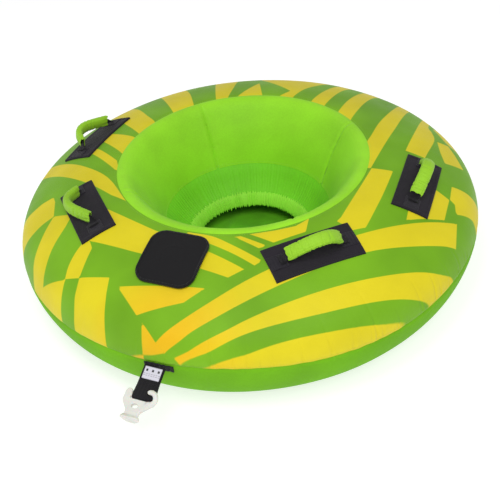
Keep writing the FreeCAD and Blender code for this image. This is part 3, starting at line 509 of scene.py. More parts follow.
class Half:
    """One half of the section. Distance v runs along the cloth from the outer seam."""

    def __init__(self, flat_radius, rise, end_radius, side):
        run = OUTER - flat_radius
        self.side = side
        self.end = end_radius
        self.flat = flat_radius
        self.large = (run ** 2 + rise ** 2 - 2 * run * end_radius) / (2 * (rise - end_radius))
        self.meet = math.atan2(self.large - rise, run - end_radius)
        self.centre_z = LEVEL + side * (rise - self.large)
        self.first = self.end * self.meet
        self.level_off = self.first + self.large * (math.pi / 2 - self.meet)

    def at(self, v):
        """Radius, height, and the two parts of the outward direction."""
        v = np.asarray(v, float)
        small = np.clip(v / self.end, 0, self.meet)
        big = self.meet + np.clip((v - self.first) / self.large, 0, math.pi / 2 - self.meet)
        on_small = v < self.first
        turn = np.where(on_small, small, big)
        radius = np.where(on_small, OUTER - self.end + self.end * np.cos(turn),
                          self.flat + self.large * np.cos(turn))
        height = np.where(on_small, LEVEL + self.side * self.end * np.sin(turn),
                          self.centre_z + self.side * self.large * np.sin(turn))
        radius = radius - np.clip(v - self.level_off, 0, None)
        return radius, height, np.cos(turn), self.side * np.sin(turn)

    def reach(self, radius):
        """Distance from the outer seam to a radius on the big arc."""
        return self.first + self.large * (math.acos((radius - self.flat) / self.large) - self.meet)


TOP = Half(CREST, CREST_Z - LEVEL, UPPER_END, 1)
BOTTOM = Half(BASE, LEVEL, LOWER_END, -1)


def around(angle, radius, height):
    """Points of a ring. Angle is counted from the tow side towards +X."""
    return np.stack(np.broadcast_arrays(radius * np.sin(angle), -radius * np.cos(angle), height), axis=-1)


def wrap(angle):
    return (angle + math.pi) % (2 * math.pi) - math.pi


def creases(angle, v, seed, count, depth, reach, width, stronger=None):
    """Sharp valleys with soft shoulders that start near a seam and fade along v, at uneven places round
    the tube."""
    draw = np.random.default_rng(seed)
    total = np.zeros(np.broadcast(angle, v).shape)
    for k in range(count):
        middle = wrap(2 * math.pi * (k + draw.uniform(-0.45, 0.45)) / count)
        deep = depth * draw.uniform(0.2, 1.0) ** 1.5 * (stronger(middle) if stronger else 1)
        far = reach * draw.uniform(0.25, 1.3)
        wide = width * draw.uniform(0.7, 1.3)
        slant = draw.uniform(-0.14, 0.14)
        off = np.abs(wrap(angle - middle) * OUTER - slant * v)
        fade = bell(v, far)
        near = off < 12 * wide
        valley = np.exp(-off / wide) - 0.45 * bell(off, 3.2 * wide)
        total -= np.where(near, deep * valley * fade, 0)
    return total


def ripple(angle, v, seed, waves, height):
    """A gentle uneven swelling of the whole surface."""
    draw = np.random.default_rng(seed)
    total = 0
    for _ in range(waves):
        rounds = draw.integers(3, 17)
        total = total + draw.uniform(0.3, 1) * np.sin(rounds * angle + draw.uniform(0, 6.3)
                                                      + draw.uniform(-9, 9) * v)
    return height * total / waves


# ---------------------------------------------------------------- the print
# Yellow shapes seen from above, in millimetres, x to the right and y away from the tow side. Each is a
# list of sides; a side is smooth, and sides meet at corners. Shapes that run on to a seam end outside it.

PRINT = [
    # fan of long stripes from the strap
    [[(29, -592), (120, -499), (207, -400), (365, -230), (480, -118), (568, -41)],
     [(580, -111), (502, -177), (393, -268), (270, -397), (164, -504), (106, -558), (80, -582), (52, -600)]],
    [[(73, -601), (94, -593), (116, -581), (167, -544), (222, -495), (354, -379), (484, -267), (557, -205),
      (585, -168), (600, -148)],
     [(640, -150), (620, -250)], [(568, -236), (541, -274), (491, -322), (360, -430), (224, -525),
      (160, -571), (126, -588), (86, -603)]],
    [[(128, -597), (160, -586), (205, -566), (250, -541), (375, -457), (464, -385), (508, -337), (530, -305)],
     [(600, -300), (380, -640), (140, -640)]],
    # round the strap and under the flap
    [[(-14, -567), (28, -592)], [(52, -600), (25, -605), (0, -607)], [(-9, -580)]],
    [[(-36, -609), (1, -607)], [(1, -640), (-45, -640)]],
    [[(-102, -507), (0, -489), (102, -471)], [(66, -512), (0, -542), (-31, -557)]],
    [[(-246, -297), (-149, -328), (-61, -353), (79, -383), (168, -404)],
     [(141, -434), (79, -430), (-71, -422), (-149, -413), (-243, -400)]],
    [[(0, -335), (60, -334), (120, -349), (198, -371)], [(186, -388), (120, -370), (0, -345)]],
    [[(112, -323), (125, -316)], [(196, -328), (178, -340)]],
    [[(141, -304), (204, -314)], [(262, -258), (254, -210)], [(234, -247), (195, -274)]],
    # left of the strap
    [[(-213, -494), (-132, -489)], [(-124, -523), (-112, -560), (-97, -602), (-92, -640)],
     [(-210, -640), (-196, -577), (-207, -532)]],
    [[(-249, -407), (-257, -438), (-259, -469), (-254, -497)], [(-213, -495), (-215, -450), (-215, -421)],
     [(-231, -403)]],
    [[(-345, -503), (-300, -502), (-253, -499)], [(-249, -523), (-243, -559), (-238, -600)],
     [(-380, -560)]],
    # left side
    [[(-419, -269), (-437, -250)], [(-469, -264), (-497, -287), (-545, -312)], [(-560, -380), (-480, -415)],
     [(-465, -395), (-437, -366), (-419, -344), (-390, -322)]],
    [[(-390, -322), (-392, -375), (-386, -438), (-375, -469), (-366, -500)], [(-345, -530)],
     [(-323, -501), (-329, -476), (-336, -422), (-329, -360)], [(-330, -322)]],
    [[(-640, -55), (-495, -100), (-399, -136), (-301, -182), (-205, -262)],
     [(-255, -248), (-336, -213), (-460, -166), (-535, -140), (-640, -105)]],
    [[(-425, -45), (-399, -56), (-320, -103)], [(-290, -145)], [(-304, -143), (-367, -103), (-425, -68)]],
    [[(-427, 34), (-360, 23), (-310, 12)], [(-306, -78), (-360, -45), (-427, -5)]],
    [[(-580, 330), (-461, 231), (-420, 199)], [(-356, 140), (-317, 110), (-280, 75)],
     [(-300, 18), (-357, 57), (-427, 109), (-600, 255)]],
    [[(-510, 440), (-442, 387), (-418, 330), (-383, 283), (-340, 231), (-260, 140)],
     [(-230, 200), (-288, 291), (-323, 339), (-357, 387), (-400, 500)]],
    [[(-350, 560), (-301, 495), (-275, 443), (-223, 330), (-190, 262)],
     [(-160, 270), (-177, 365), (-210, 478), (-240, 600)]],
    # back
    [[(-115, 418), (-138, 292)], [(-58, 302)]],
    [[(-24, 312), (2, 368)], [(2, 371), (-80, 430), (-125, 465)], [(-150, 520), (-168, 640)],
     [(98, 640), (66, 477), (37, 395), (21, 312)]],
    [[(82, 305), (91, 374), (103, 457), (118, 640)], [(160, 640), (143, 477), (134, 374), (128, 300)]],
    [[(176, 270), (180, 353), (188, 457), (196, 640)], [(246, 640), (231, 440), (225, 312), (222, 240)]],
    [[(300, 560), (306, 415), (304, 334), (298, 246), (297, 174), (290, 100), (300, 28)],
     [(337, 27), (343, 188), (345, 270), (341, 415), (335, 560)]],
    [[(380, 500), (393, 300), (397, 147)], [(448, 147), (448, 270), (430, 328), (413, 366), (400, 500)]],
    [[(455, 275), (483, 291)], [(508, 254), (541, 200)], [(496, 171), (475, 217)]],
    [[(425, 370), (475, 305), (502, 295)], [(560, 340), (480, 450)]],
    # right side
    [[(339, 27), (391, 36)], [(392, -18), (391, -86), (385, -183), (380, -195)], [(359, -213), (318, -200)],
     [(323, -183), (333, -63), (339, 27)]],
    [[(496, 32), (536, 22)], [(538, -18), (540, -56)], [(516, -75), (488, -97), (462, -121)], [(459, -90)]],
    [[(531, 80), (554, 91), (597, 103)], [(640, 105), (640, 22)], [(597, 22), (579, 5), (560, -13)],
     [(551, 18), (537, 25)]],
]


def print_marks(x, y):
    """How far each place lies inside the nearest yellow shape, in metres, and below zero outside."""
    place = np.stack([x.ravel(), y.ravel()], axis=1)
    result = np.full(len(place), -0.02)
    for sides in PRINT:
        outline = np.concatenate([spline(side) for side in sides]) / 1000
        low, high = outline.min(0) - 0.02, outline.max(0) + 0.02
        near = np.all((place > low) & (place < high), axis=1)
        p = place[near]
        closest = np.full(len(p), 1.0)
        inside = np.zeros(len(p), bool)
        for a, b in zip(outline, np.roll(outline, -1, axis=0)):
            side = b - a
            t = np.clip(((p - a) @ side) / max(side @ side, 1e-12), 0, 1)
            closest = np.minimum(closest, np.linalg.norm(p - a - t[:, None] * side, axis=1))
            crosses = (a[1] > p[:, 1]) != (b[1] > p[:, 1])
            with np.errstate(divide="ignore", invalid="ignore"):
                at = a[0] + (p[:, 1] - a[1]) / (b[1] - a[1]) * side[0]
            inside ^= crosses & (p[:, 0] < at)
        result[near] = np.maximum(result[near], np.where(inside, closest, -closest))
    return result.reshape(x.shape)


# ---------------------------------------------------------------- places on the cover


class Spot:
    """A place on the top of the cover: x runs along the tube, y inwards, z straight out of the cloth."""

    def __init__(self, angle, radius):
        turn = math.acos((radius - CREST) / TOP.large)
        tilt = math.pi / 2 - turn
        a = math.radians(angle)
        self.x = np.array([math.cos(a), math.sin(a), 0])
        out = np.array([math.sin(a), -math.cos(a), 0])
        self.z = out * math.sin(tilt) + np.array([0, 0, math.cos(tilt)])
        self.y = np.cross(self.z, self.x)
        self.origin = out * radius + np.array([0, 0, TOP.centre_z + TOP.large * math.sin(turn)])

    def place(self, x, y, z):
        x, y, z = np.broadcast_arrays(*(np.asarray(k, float) for k in (x, y, z)))
        return self.origin + x[..., None] * self.x + y[..., None] * self.y + z[..., None] * self.z

    def on_cloth(self, x, y, lift):
        """The point over (x, y) that is lift above the cover."""
        rise = np.zeros(np.broadcast(np.asarray(x), np.asarray(y)).shape)
        for _ in range(5):
            p = self.place(x, y, rise)
            away = np.hypot(np.hypot(p[..., 0], p[..., 1]) - CREST, p[..., 2] - TOP.centre_z) - TOP.large
            rise = rise + lift - away
        return self.place(x, y, rise)


HANDLE_SPOTS = {name: Spot(side * angle, radius) for name, (side, angle, radius, _, _) in HANDLES.items()}
VALVE_SPOT = Spot(0, VALVE_RADIUS)

# ---------------------------------------------------------------- cover


def seam_wave(angle):
    """Uneven height of the outer seam, the same for both covers."""
    draw = np.random.default_rng(10)
    waves = [(draw.integers(30, 130), draw.uniform(0, 6.3)) for _ in range(8)]
    slow = sum(np.sin(k * angle + p) for k, p in waves) / len(waves)
    return 0.0022 * slow


def seam_climb(angle):
    """Slow rise and fall of the outer seam: a little high near the strap, a dip to the right of it."""
    a = np.degrees(wrap(angle))
    return 0.0092 * np.exp(-((a - 3) / 27) ** 4) - 0.0055 * bell(a - 55, 15)


def make_top_cover():
    """One cloth from the outer seam to the rim seam, puckered along both, with a hole over the valve."""
    length = TOP.reach(RIM)
    columns, cloth_radius = 1520, 0.47
    rows = spaced(0, (0.012, 6), (0.08, 18), (length - 0.012, 38), (length, 5))
    a, v = np.meshgrid(full_turn(columns), rows)
    radius, height, out, up = TOP.at(v)
    front_right = math.radians(52)

    def stronger(where):
        toward = math.cos(wrap(where - front_right))
        return 0.3 + 1.1 * max(toward, 0) ** 3

    start = 1 - bell(v, 0.004)
    dent = creases(a, v, 11, 260, 0.0034, 0.032, 0.0024, stronger) * start
    dent += creases(a, v, 12, 100, 0.0046, 0.062, 0.0032, stronger) * start
    dent += creases(a, length - v, 13, 120, 0.0008, 0.02, 0.0025) * np.clip((length - v) / 0.01, 0, 1)
    dent += ripple(a, v, 14, 9, 0.0016) * np.clip(v / 0.05, 0, 1) * np.clip((length - v) / 0.05, 0, 1)
    dent -= SEAM_DRAW * bell(v, 0.005) + 0.0014 * bell(length - v, 0.006)
    dent = np.maximum(dent, -DEEPEST)
    climb = seam_climb(a) * np.exp(-v / 0.035)
    seen_radius = TOP.at(np.clip(v + climb, 0, None))[0]
    marks = print_marks(seen_radius * np.sin(a), -seen_radius * np.cos(a))
    lift = seam_wave(a) * np.exp(-v / 0.012) + climb
    points = around(a, radius + out * dent, height + up * dent + lift)
    # the hole over the valve: points near it move on to its edge, and the ones well inside go
    off = points - VALVE_SPOT.origin
    flat = off - (off @ VALVE_SPOT.z)[..., None] * VALVE_SPOT.z
    far = np.linalg.norm(flat, axis=-1)
    edge = (far < VALVE_HOLE) & (far > VALVE_HOLE - HOLE_BAND)
    outwards = flat * ((VALVE_HOLE - far) / np.maximum(far, 1e-6))[..., None]
    points = np.where(edge[..., None], points + outwards, points)
    cover = grid_object("top_cover_cloth", points, printed_cloth,
                        lambda r, c: c / columns * 2 * math.pi * cloth_radius, lambda r, c: rows[r],
                        closed=True, marks=marks, drop=far <= VALVE_HOLE - HOLE_BAND)
    seat(cover, "tube", "printed_nylon", "top_cover", "outer_seam_tape", "rim_seam_tape",
                   "tow_strap_reinforcement")


def make_bottom_cover():
    """One cloth from the outer seam down and under the tube, fullest halfway down its side."""
    length = BOTTOM.level_off + BASE - LAP
    columns, cloth_radius = 1140, 0.5
    fullest, full_width = 0.125, 0.055
    rows = spaced(0, (0.012, 6), (0.07, 12), (BOTTOM.level_off, 22), (length, 8))
    a, v = np.meshgrid(full_turn(columns), rows)
    radius, height, out, up = BOTTOM.at(v)
    start = 1 - bell(v, 0.004)
    dent = creases(a, v, 21, 170, 0.0014, 0.022, 0.0028) * start
    dent += creases(a, v, 22, 40, 0.0016, 0.07, 0.005) * start
    fade = np.clip((BOTTOM.level_off - v) / 0.06, 0, 1)
    dent = dent * fade + ripple(a, v, 23, 9, 0.0018) * np.clip(v / 0.05, 0, 1) * fade
    dent -= SEAM_DRAW * bell(v, 0.005)
    dent = np.maximum(dent, -DEEPEST) + FULLNESS * bell(v - fullest, full_width)
    lift = seam_wave(a) * np.exp(-v / 0.012) + seam_climb(a) * np.exp(-v / 0.035)
    points = around(a, radius + out * dent, height + up * dent + lift)
    cover = grid_object("bottom_cover_cloth", points, under_cloth,
                        lambda r, c: c / columns * 2 * math.pi * cloth_radius, lambda r, c: rows[r],
                        closed=True, flip=True)
    seat(cover, "tube", "lime_nylon", "bottom_cover")


def well_section(t):
    """The well's wall from the rim seam, t from 0 to 1, over the crest and down to the waist seam, a little
    fuller than a straight wall because the tube swells behind it."""
    rim_radius, rim_height, out, up = (float(k) for k in TOP.at(TOP.reach(RIM)))
    line = spline([(rim_radius - out * 0.0014, rim_height - up * 0.0014), (0.3265, CREST_Z + 0.0002),
                   (0.319, CREST_Z + 0.0006), (0.306, CREST_Z - 0.0035),
                   (0.2955, CREST_Z - 0.0145), (0.284, CREST_Z - 0.034), (0.262, 0.246), (0.2425, 0.201),
                   (0.2285, 0.1645), WAIST], 8)
    points, _ = evenly(line, 200)
    at = np.asarray(t) * 199
    radius = np.interp(at, np.arange(200), points[:, 0])
    height = np.interp(at, np.arange(200), points[:, 1])
    return radius, height


def make_well_panels():
    """Four panels, sewn to each other at the corners and drawn in a little along every seam."""
    rows, columns = 56, 96
    for name, start in (("front", -45), ("right", 45), ("back", 135), ("left", 225)):
        t = np.linspace(0, 1, rows)
        across = np.radians(np.linspace(start, start + 90, columns))
        a, tt = np.meshgrid(across, t)
        radius, height = well_section(tt)
        ahead = well_section(np.clip(tt + 0.004, 0, 1))
        behind = well_section(np.clip(tt - 0.004, 0, 1))
        run, drop = ahead[0] - behind[0], ahead[1] - behind[1]
        size = np.maximum(np.hypot(run, drop), 1e-9)
        inward, up = drop / size, -run / size
        from_side = np.minimum(a - across[0], across[-1] - a) * radius
        length = WALL_LENGTH
        from_foot, from_rim = (1 - tt) * length, tt * length
        belly = np.sin(math.pi * np.clip(from_rim - 0.03, 0, None) / (length - 0.03)) ** 0.8
        swell = 0.006 * np.clip(from_side / 0.12, 0, 1) ** 0.5 * belly
        swell = swell - 0.0022 * bell(from_side, 0.0045) * np.clip(from_rim / 0.02, 0, 1)
        swell = swell + 0.0010 * bell(from_side - 0.009, 0.004) * np.clip(from_rim / 0.02, 0, 1)
        swell = swell - 0.0012 * bell(from_foot, 0.006)
        seed = 31 + start + 90
        draw = np.random.default_rng(seed + 200)
        for _ in range(14):                 # short creases that run out of the side seams
            edge = across[0] if draw.random() < 0.5 else across[-1]
            where, reach = draw.uniform(0.03, length - 0.01), draw.uniform(0.012, 0.035)
            off = from_rim - where - draw.uniform(-0.4, 0.4) * np.abs(a - edge) * radius
            swell = swell - draw.uniform(0.0002, 0.0007) * bell(off, 0.004) \
                * np.exp(-(np.abs(a - edge) * radius / reach) ** 1.5)
        for _ in range(2):                  # long faint ridges where the cloth has been pressed
            off = from_rim - draw.uniform(0.06, 0.14) \
                - 0.9 * (a - across[0] - draw.uniform(0.2, 0.9)) * radius
            swell = swell + 0.0007 * bell(off, 0.0035) \
                * bell(a - across[0] - draw.uniform(0.35, 1.1), 0.22)
        swell = swell + creases(a, from_foot, seed + 300, 150, 0.0006, 0.014, 0.003)
        swell = swell + ripple(a, from_rim, seed + 400, 7, 0.0009) * np.clip(from_side / 0.04, 0, 1)
        swell = swell * np.where(tt < 1e-9, 0, 1)
        points = around(a, radius + inward * swell, height + up * swell)
        panel = grid_object("well_panel_cloth_" + name, points, lit_well_cloth,
                            lambda r, c: c / columns * 0.43, lambda r, c: r / rows * length, flip=True)
        seat(panel, "tube", "lime_nylon", "well_panel_" + name)


def make_well_skirt():
    """The gathered skirt under the waist seam, and its ruffled hem with the elastic inside."""
    columns, rows = 900, 40
    angle = full_turn(columns)
    draw = np.random.default_rng(51)
    folds = [(draw.integers(45, 150), draw.uniform(0, 6.3), draw.uniform(0.3, 1)) for _ in range(9)]
    a, tt = np.meshgrid(angle, np.linspace(0, 1, rows))
    gathers = sum(h * np.sin(k * a + p + 1.5 * tt) for k, p, h in folds) / len(folds)
    line = spline([(WAIST[0] + 0.0035, WAIST[1] + 0.002), (0.2145, 0.138), (0.201, 0.115), (0.186, 0.095),
                   SKIRT_FOOT], 6)
    centre, travelled = evenly(line, rows)
    radius = np.broadcast_to(centre[:, 0:1], a.shape) + gathers * (0.0012 + 0.0042 * tt ** 0.7)
    height = np.broadcast_to(centre[:, 1:2], a.shape) + gathers * (0.0010 * tt)
    skirt = grid_object("well_skirt_cloth", around(a, radius, height), skirt_cloth,
                        lambda r, c: c / columns * 1.9, lambda r, c: travelled[r], closed=True, flip=True)
    seat(skirt, "tube", "lime_nylon", "well_lower_panel")

    # the hem: a soft tube of cloth round the elastic, puffed and pinched by it
    a, s = np.meshgrid(angle, full_turn(26))
    puffs = sum(h * np.sin(k * a + p) for k, p, h in folds[:6]) / 6
    frills = [(draw.integers(70, 200), draw.uniform(0, 6.3), draw.uniform(0.3, 1)) for _ in range(6)]
    frill = sum(h * np.sin(k * a + p + 0.8 * np.cos(s)) for k, p, h in frills) / 6
    slow = ripple(a, 0 * a, 52, 8, 1.0)
    top, edge = np.array(SKIRT_FOOT) + (0.0015, 0.0045), np.array(HEM_EDGE)
    middle = (top + edge) / 2 + np.array([-0.001, 0.001])
    slope = (edge - top) / np.linalg.norm(edge - top)
    half_long = np.linalg.norm(edge - top) / 2 * 1.08
    half_thick = 0.0056 * (1 + 0.6 * puffs + 0.3 * slow)
    along = np.cos(s) * half_long * (1 + 0.2 * slow + 0.5 * puffs + 0.2 * frill)
    outward = np.array([-slope[1], slope[0]])
    thick = np.sin(s) * half_thick + (0.0062 * puffs + 0.0056 * frill) * np.abs(np.sin(s)) ** 0.5
    radius = middle[0] + slope[0] * along + outward[0] * thick
    height = middle[1] + slope[1] * along + outward[1] * thick
    points = around(a, radius, height)
    hem = grid_object("well_hem_cloth", np.concatenate([points, points[:1]]), hem_cloth,
                      lambda r, c: c / columns * 1.9, lambda r, c: r * 0.003, closed=True)
    with reworked(hem) as work:
        bmesh.ops.remove_doubles(work, verts=work.verts, dist=1e-6)
        bmesh.ops.recalc_face_normals(work, faces=work.faces)
    seat(hem, "tube", "lime_nylon", "well_hem", "well_elastic_cord")


def make_floor_panel():
    """The floor of the well, laid flat with a few soft folds where the rider's weight has creased it."""
    rings, columns = 46, 128
    angle = full_turn(columns)
    radius_rows = np.linspace(0.003, FLOOR_RADIUS, rings)
    a, r = np.meshgrid(angle, radius_rows)
    x, y = r * np.sin(a), -r * np.cos(a)
    draw = np.random.default_rng(61)
    lift = np.zeros_like(x)
    for _ in range(9):
        way, off = draw.uniform(0, math.pi), draw.uniform(-0.1, 0.1)
        across = x * math.cos(way) + y * math.sin(way) - off
        along = -x * math.sin(way) + y * math.cos(way)
        lift += draw.uniform(0.002, 0.006) * bell(across, draw.uniform(0.012, 0.035)) \
            * bell(along, draw.uniform(0.08, 0.2))
    lift = lift * np.clip((0.24 - r) / 0.06, 0, 1)
    floor = grid_object("floor_cloth", np.stack([x, y, FLOOR_Z + lift], axis=-1), floor_cloth,
                        lambda i, c: radius_rows[i] * math.sin(angle[c % columns]),
                        lambda i, c: radius_rows[i] * math.cos(angle[c % columns]), closed=True)
    with reworked(floor) as work:
        bmesh.ops.contextual_create(work, geom=[e for e in work.edges if e.is_boundary
                                                and e.verts[0].co.xy.length < 0.01])
        bmesh.ops.recalc_face_normals(work, faces=work.faces)
    seat(floor, "tube", "floor_nylon", "floor_panel")


# ---------------------------------------------------------------- seams and stitches


def stitches(name, runs, body, material, slot, pitch=0.0055, length=0.0038, width=0.0011, height=0.0007):
    """Stitches along lines. Each run is (points, directions out of the cloth), closed or open."""
    vertices, faces = [], []
    for points, outwards in runs:
        points, outwards = np.asarray(points, float), np.asarray(outwards, float)
        total = np.linalg.norm(np.diff(points, axis=0), axis=1).sum()
        count = max(int(total / pitch), 2)
        both = np.hstack([points, outwards])
        steps = np.concatenate([[0], np.cumsum(np.linalg.norm(np.diff(points, axis=0), axis=1))])
        at = (np.arange(count) + 0.5) * total / count
        here = np.stack([np.interp(at, steps, both[:, k]) for k in range(6)], axis=1)
        ahead = np.stack([np.interp(at + 0.0005, steps, both[:, k]) for k in range(3)], axis=1)
        behind = np.stack([np.interp(at - 0.0005, steps, both[:, k]) for k in range(3)], axis=1)
        way = ahead - behind
        way /= np.maximum(np.linalg.norm(way, axis=1, keepdims=True), 1e-9)
        up = here[:, 3:] / np.linalg.norm(here[:, 3:], axis=1, keepdims=True)
        side = np.cross(up, way)
        for p, w, u, s in zip(here[:, :3], way, up, side):
            first = len(vertices)
            vertices += [p - w * length / 2, p + w * length / 2, p + s * width / 2, p - s * width / 2,
                         p + u * height, p - u * height]
            for a, b in ((2, 4), (4, 3), (3, 5), (5, 2)):
                faces.append((first, first + a, first + b))
                faces.append((first + 1, first + b, first + a))
    return seat(mesh_object(name, vertices, faces, material), body, slot)


def ring_run(radius, height, out, up):
    """A run of points round the tube's axis, for stitches."""
    count = 721
    angle = np.radians(np.linspace(0.0, 360.0, count))
    points = around(angle, np.full(count, radius), np.full(count, height))
    return points, around(angle, np.full(count, out), np.full(count, up))


def make_seams():
    """Rows of stitches at the rim, at the waist and at the corners of the well."""
    def sew(name, runs):
        stitches(name, runs, "tube", lime_thread, "lime_nylon", pitch=0.006)

    places = [(RIM - 0.0045, CREST_Z - 0.0006), (RIM + 0.0045, CREST_Z - 0.0016)]
    sew("rim_stitches", [ring_run(radius, height, 0, 1) for radius, height in places])
    places = [well_section(t) for t in (0.955, 0.975)]
    sew("waist_stitches", [ring_run(float(r) - 0.0004, float(z), -1, 0.3) for r, z in places])
    runs = []
    count = 120
    r, z = well_section(np.linspace(0.06, 0.98, count))
    for corner in (45, 135, 225, 315):
        for off in (-0.9, 0.9):
            turn = np.full(count, math.radians(corner) + math.radians(off))
            runs.append((around(turn, r + 0.0006, z - 0.0002),
                         around(turn, np.full(count, -0.8), np.full(count, 0.6))))
    sew("corner_stitches", runs)


# ---------------------------------------------------------------- flap over the valve


def rounded_square(half, corner, count):
    """Evenly spaced points round a square with round corners."""
    line = []
    for k in range(4):
        turn = k * math.pi / 2
        cx, cy = (half - corner) * (1 if k in (0, 3) else -1), (half - corner) * (1 if k in (0, 1) else -1)
        for t in np.linspace(0, math.pi / 2, 13):
            line.append((cx + corner * math.cos(turn + t), cy + corner * math.sin(turn + t)))
    return evenly(line, count, closed=True)[0]


def make_flap():
    """A stiff black flap with a bound edge, lying over the valve."""
    half, corner, count = 0.0735, 0.035, 176
    low, top = 0.0042, 0.0080
    # distance from the edge, height above the cover
    steps = [(0.0006, low), (0.0, low + 0.0006), (0.0, top + 0.0001), (0.0006, top + 0.0008),
             (0.0018, top + 0.0011), (0.0050, top + 0.0010), (0.0060, top + 0.0007), (0.0067, top - 0.0002),
             (0.0080, top - 0.0001), (0.013, top + 0.0001)]
    rings = []
    for inset, lift in steps:
        shrink = rounded_square(half - inset, corner - inset, count)
        rings.append(VALVE_SPOT.on_cloth(shrink[:, 0], shrink[:, 1], lift))
    for part in np.linspace(0.9, 0.04, 30):
        inner = rounded_square((half - 0.013), corner - 0.013, count) * part
        far = np.hypot(inner[:, 0], inner[:, 1])
        emboss = 0.0003 * bell(far - 0.031, 0.004) \
            + 0.0003 / (1 + np.exp((far - 0.033) / 0.0035))
        sag = 0.0003 * np.sin(inner[:, 0] * 90 + 1) * np.sin(inner[:, 1] * 70)
        rings.append(VALVE_SPOT.on_cloth(inner[:, 0], inner[:, 1], top + 0.0001 + emboss + sag))
    points = np.array(rings)
    faces, places = grid_faces(len(rings), count, closed=True)
    last = (len(rings) - 1) * count
    faces.append([last + k for k in range(count)])
    places.append([(len(rings) - 1, k) for k in range(count)])
    flat = []
    for ring in rings:
        off = ring - VALVE_SPOT.origin
        flat.append(np.stack([off @ VALVE_SPOT.x, off @ VALVE_SPOT.y], axis=1))
    cloth = [flat[r][c % count] for ring in places for r, c in ring]
    flap = mesh_object("flap_cover", points.reshape(-1, 3), faces, flap_cloth, cloth=cloth)
    flap.data.materials.append(binding)
    for polygon, ring in zip(flap.data.polygons, places):
        polygon.material_index = 1 if ring[0][0] < 6 else 0
    modify(flap, "SUBSURF", levels=1, render_levels=1)
    seat(flap, "valve_flap", "black_pad", "valve_flap")
    line = rounded_square(half - 0.0040, corner - 0.0040, 200)
    line = np.vstack([line, line[:1]])
    run = (VALVE_SPOT.on_cloth(line[:, 0], line[:, 1], top + 0.0011),
           np.broadcast_to(VALVE_SPOT.z, (len(line), 3)))
    stitches("flap_stitches", [run], "valve_flap", black_thread, "black_pad", pitch=0.0045, length=0.0032)


# ---------------------------------------------------------------- handles


def patch(name, spot, length, width, low, top, material, body, slot, nodes=(), bound=0.0, rows=22, columns=44,
          middle=0.0, edge=0.0009, wave=0.0):
    """A flat piece that lies on the cover, with softened edges and, if bound, a raised tape round it."""
    marks = sorted({0.0, edge * 0.4, edge, edge * 2.2} | ({bound, bound + 0.0012} if bound else set()))

    def stations(size, count):
        half = size / 2
        inner = np.linspace(-half + marks[-1], half - marks[-1], count)
        ends = np.array(marks[:-1])
        return np.concatenate([-half + ends, inner, half - ends[::-1]])

    xs, ys = stations(length, columns), stations(width, rows)
    x, y = np.meshgrid(xs, ys)
    inset = np.minimum(length / 2 - np.abs(x), width / 2 - np.abs(y))
    rise = np.interp(inset, [0, edge * 0.4, edge, edge * 2.2], [0.35, 0.75, 0.93, 1.0])
    lift = low + (top - low) * rise
    if bound:
        lift = lift + 0.0009 * (1 / (1 + np.exp((inset - bound) / 0.0003)))
    if wave:
        lift = lift + wave * np.sin(x * 160 + 3 * y * 50) * np.sin(y * 140) * np.clip(inset / 0.02, 0, 1)
    top_points = spot.on_cloth(x + middle, y, lift)
    count = len(ys) * len(xs)
    faces, places = grid_faces(len(ys), len(xs))
    outline = [(0, c) for c in range(len(xs))] + [(r, len(xs) - 1) for r in range(1, len(ys))]
    outline += [(len(ys) - 1, c) for c in range(len(xs) - 2, -1, -1)]
    outline += [(r, 0) for r in range(len(ys) - 2, 0, -1)]
    foot = spot.on_cloth(np.array([xs[c] for r, c in outline]) + middle,
                         np.array([ys[r] for r, c in outline]), low)
    cloth = [(xs[c], ys[r]) for ring in places for r, c in ring]
    for k, (r, c) in enumerate(outline):
        nxt = (k + 1) % len(outline)
        r2, c2 = outline[nxt]
        faces.append([count + k, count + nxt, r2 * len(xs) + c2, r * len(xs) + c])
        cloth += [(xs[c], ys[r]), (xs[c2], ys[r2]), (xs[c2], ys[r2]), (xs[c], ys[r])]
    thing = mesh_object(name, np.vstack([top_points.reshape(-1, 3), foot]), faces, material, cloth=cloth)
    return seat(thing, body, slot, *nodes)


def rectangle_run(spot, length, width, lift, middle=0.0):
    """A run of points round a rectangle on the cover, for stitches."""
    line = np.array([(-1, -1), (1, -1), (1, 1), (-1, 1), (-1, -1)], float) * (length / 2, width / 2)
    line = evenly(line, 200)[0]
    return (spot.on_cloth(line[:, 0] + middle, line[:, 1], lift), np.broadcast_to(spot.z, (200, 3)))


def handle_path(count, slump):
    """The middle line of a handle in its own plane, x along the tube and z away from the hinge line."""
    turn = np.linspace(-1.06, 1.06, 240)
    z = HANDLE_RISE * (1 - (np.sqrt(turn ** 2 + 0.04) - 0.2) ** 1.45 / 0.7602)
    x = turn * HANDLE_SPAN / 2 + slump * np.clip(z / HANDLE_RISE, 0, 1)
    return evenly(np.stack([x, z], axis=1), count)


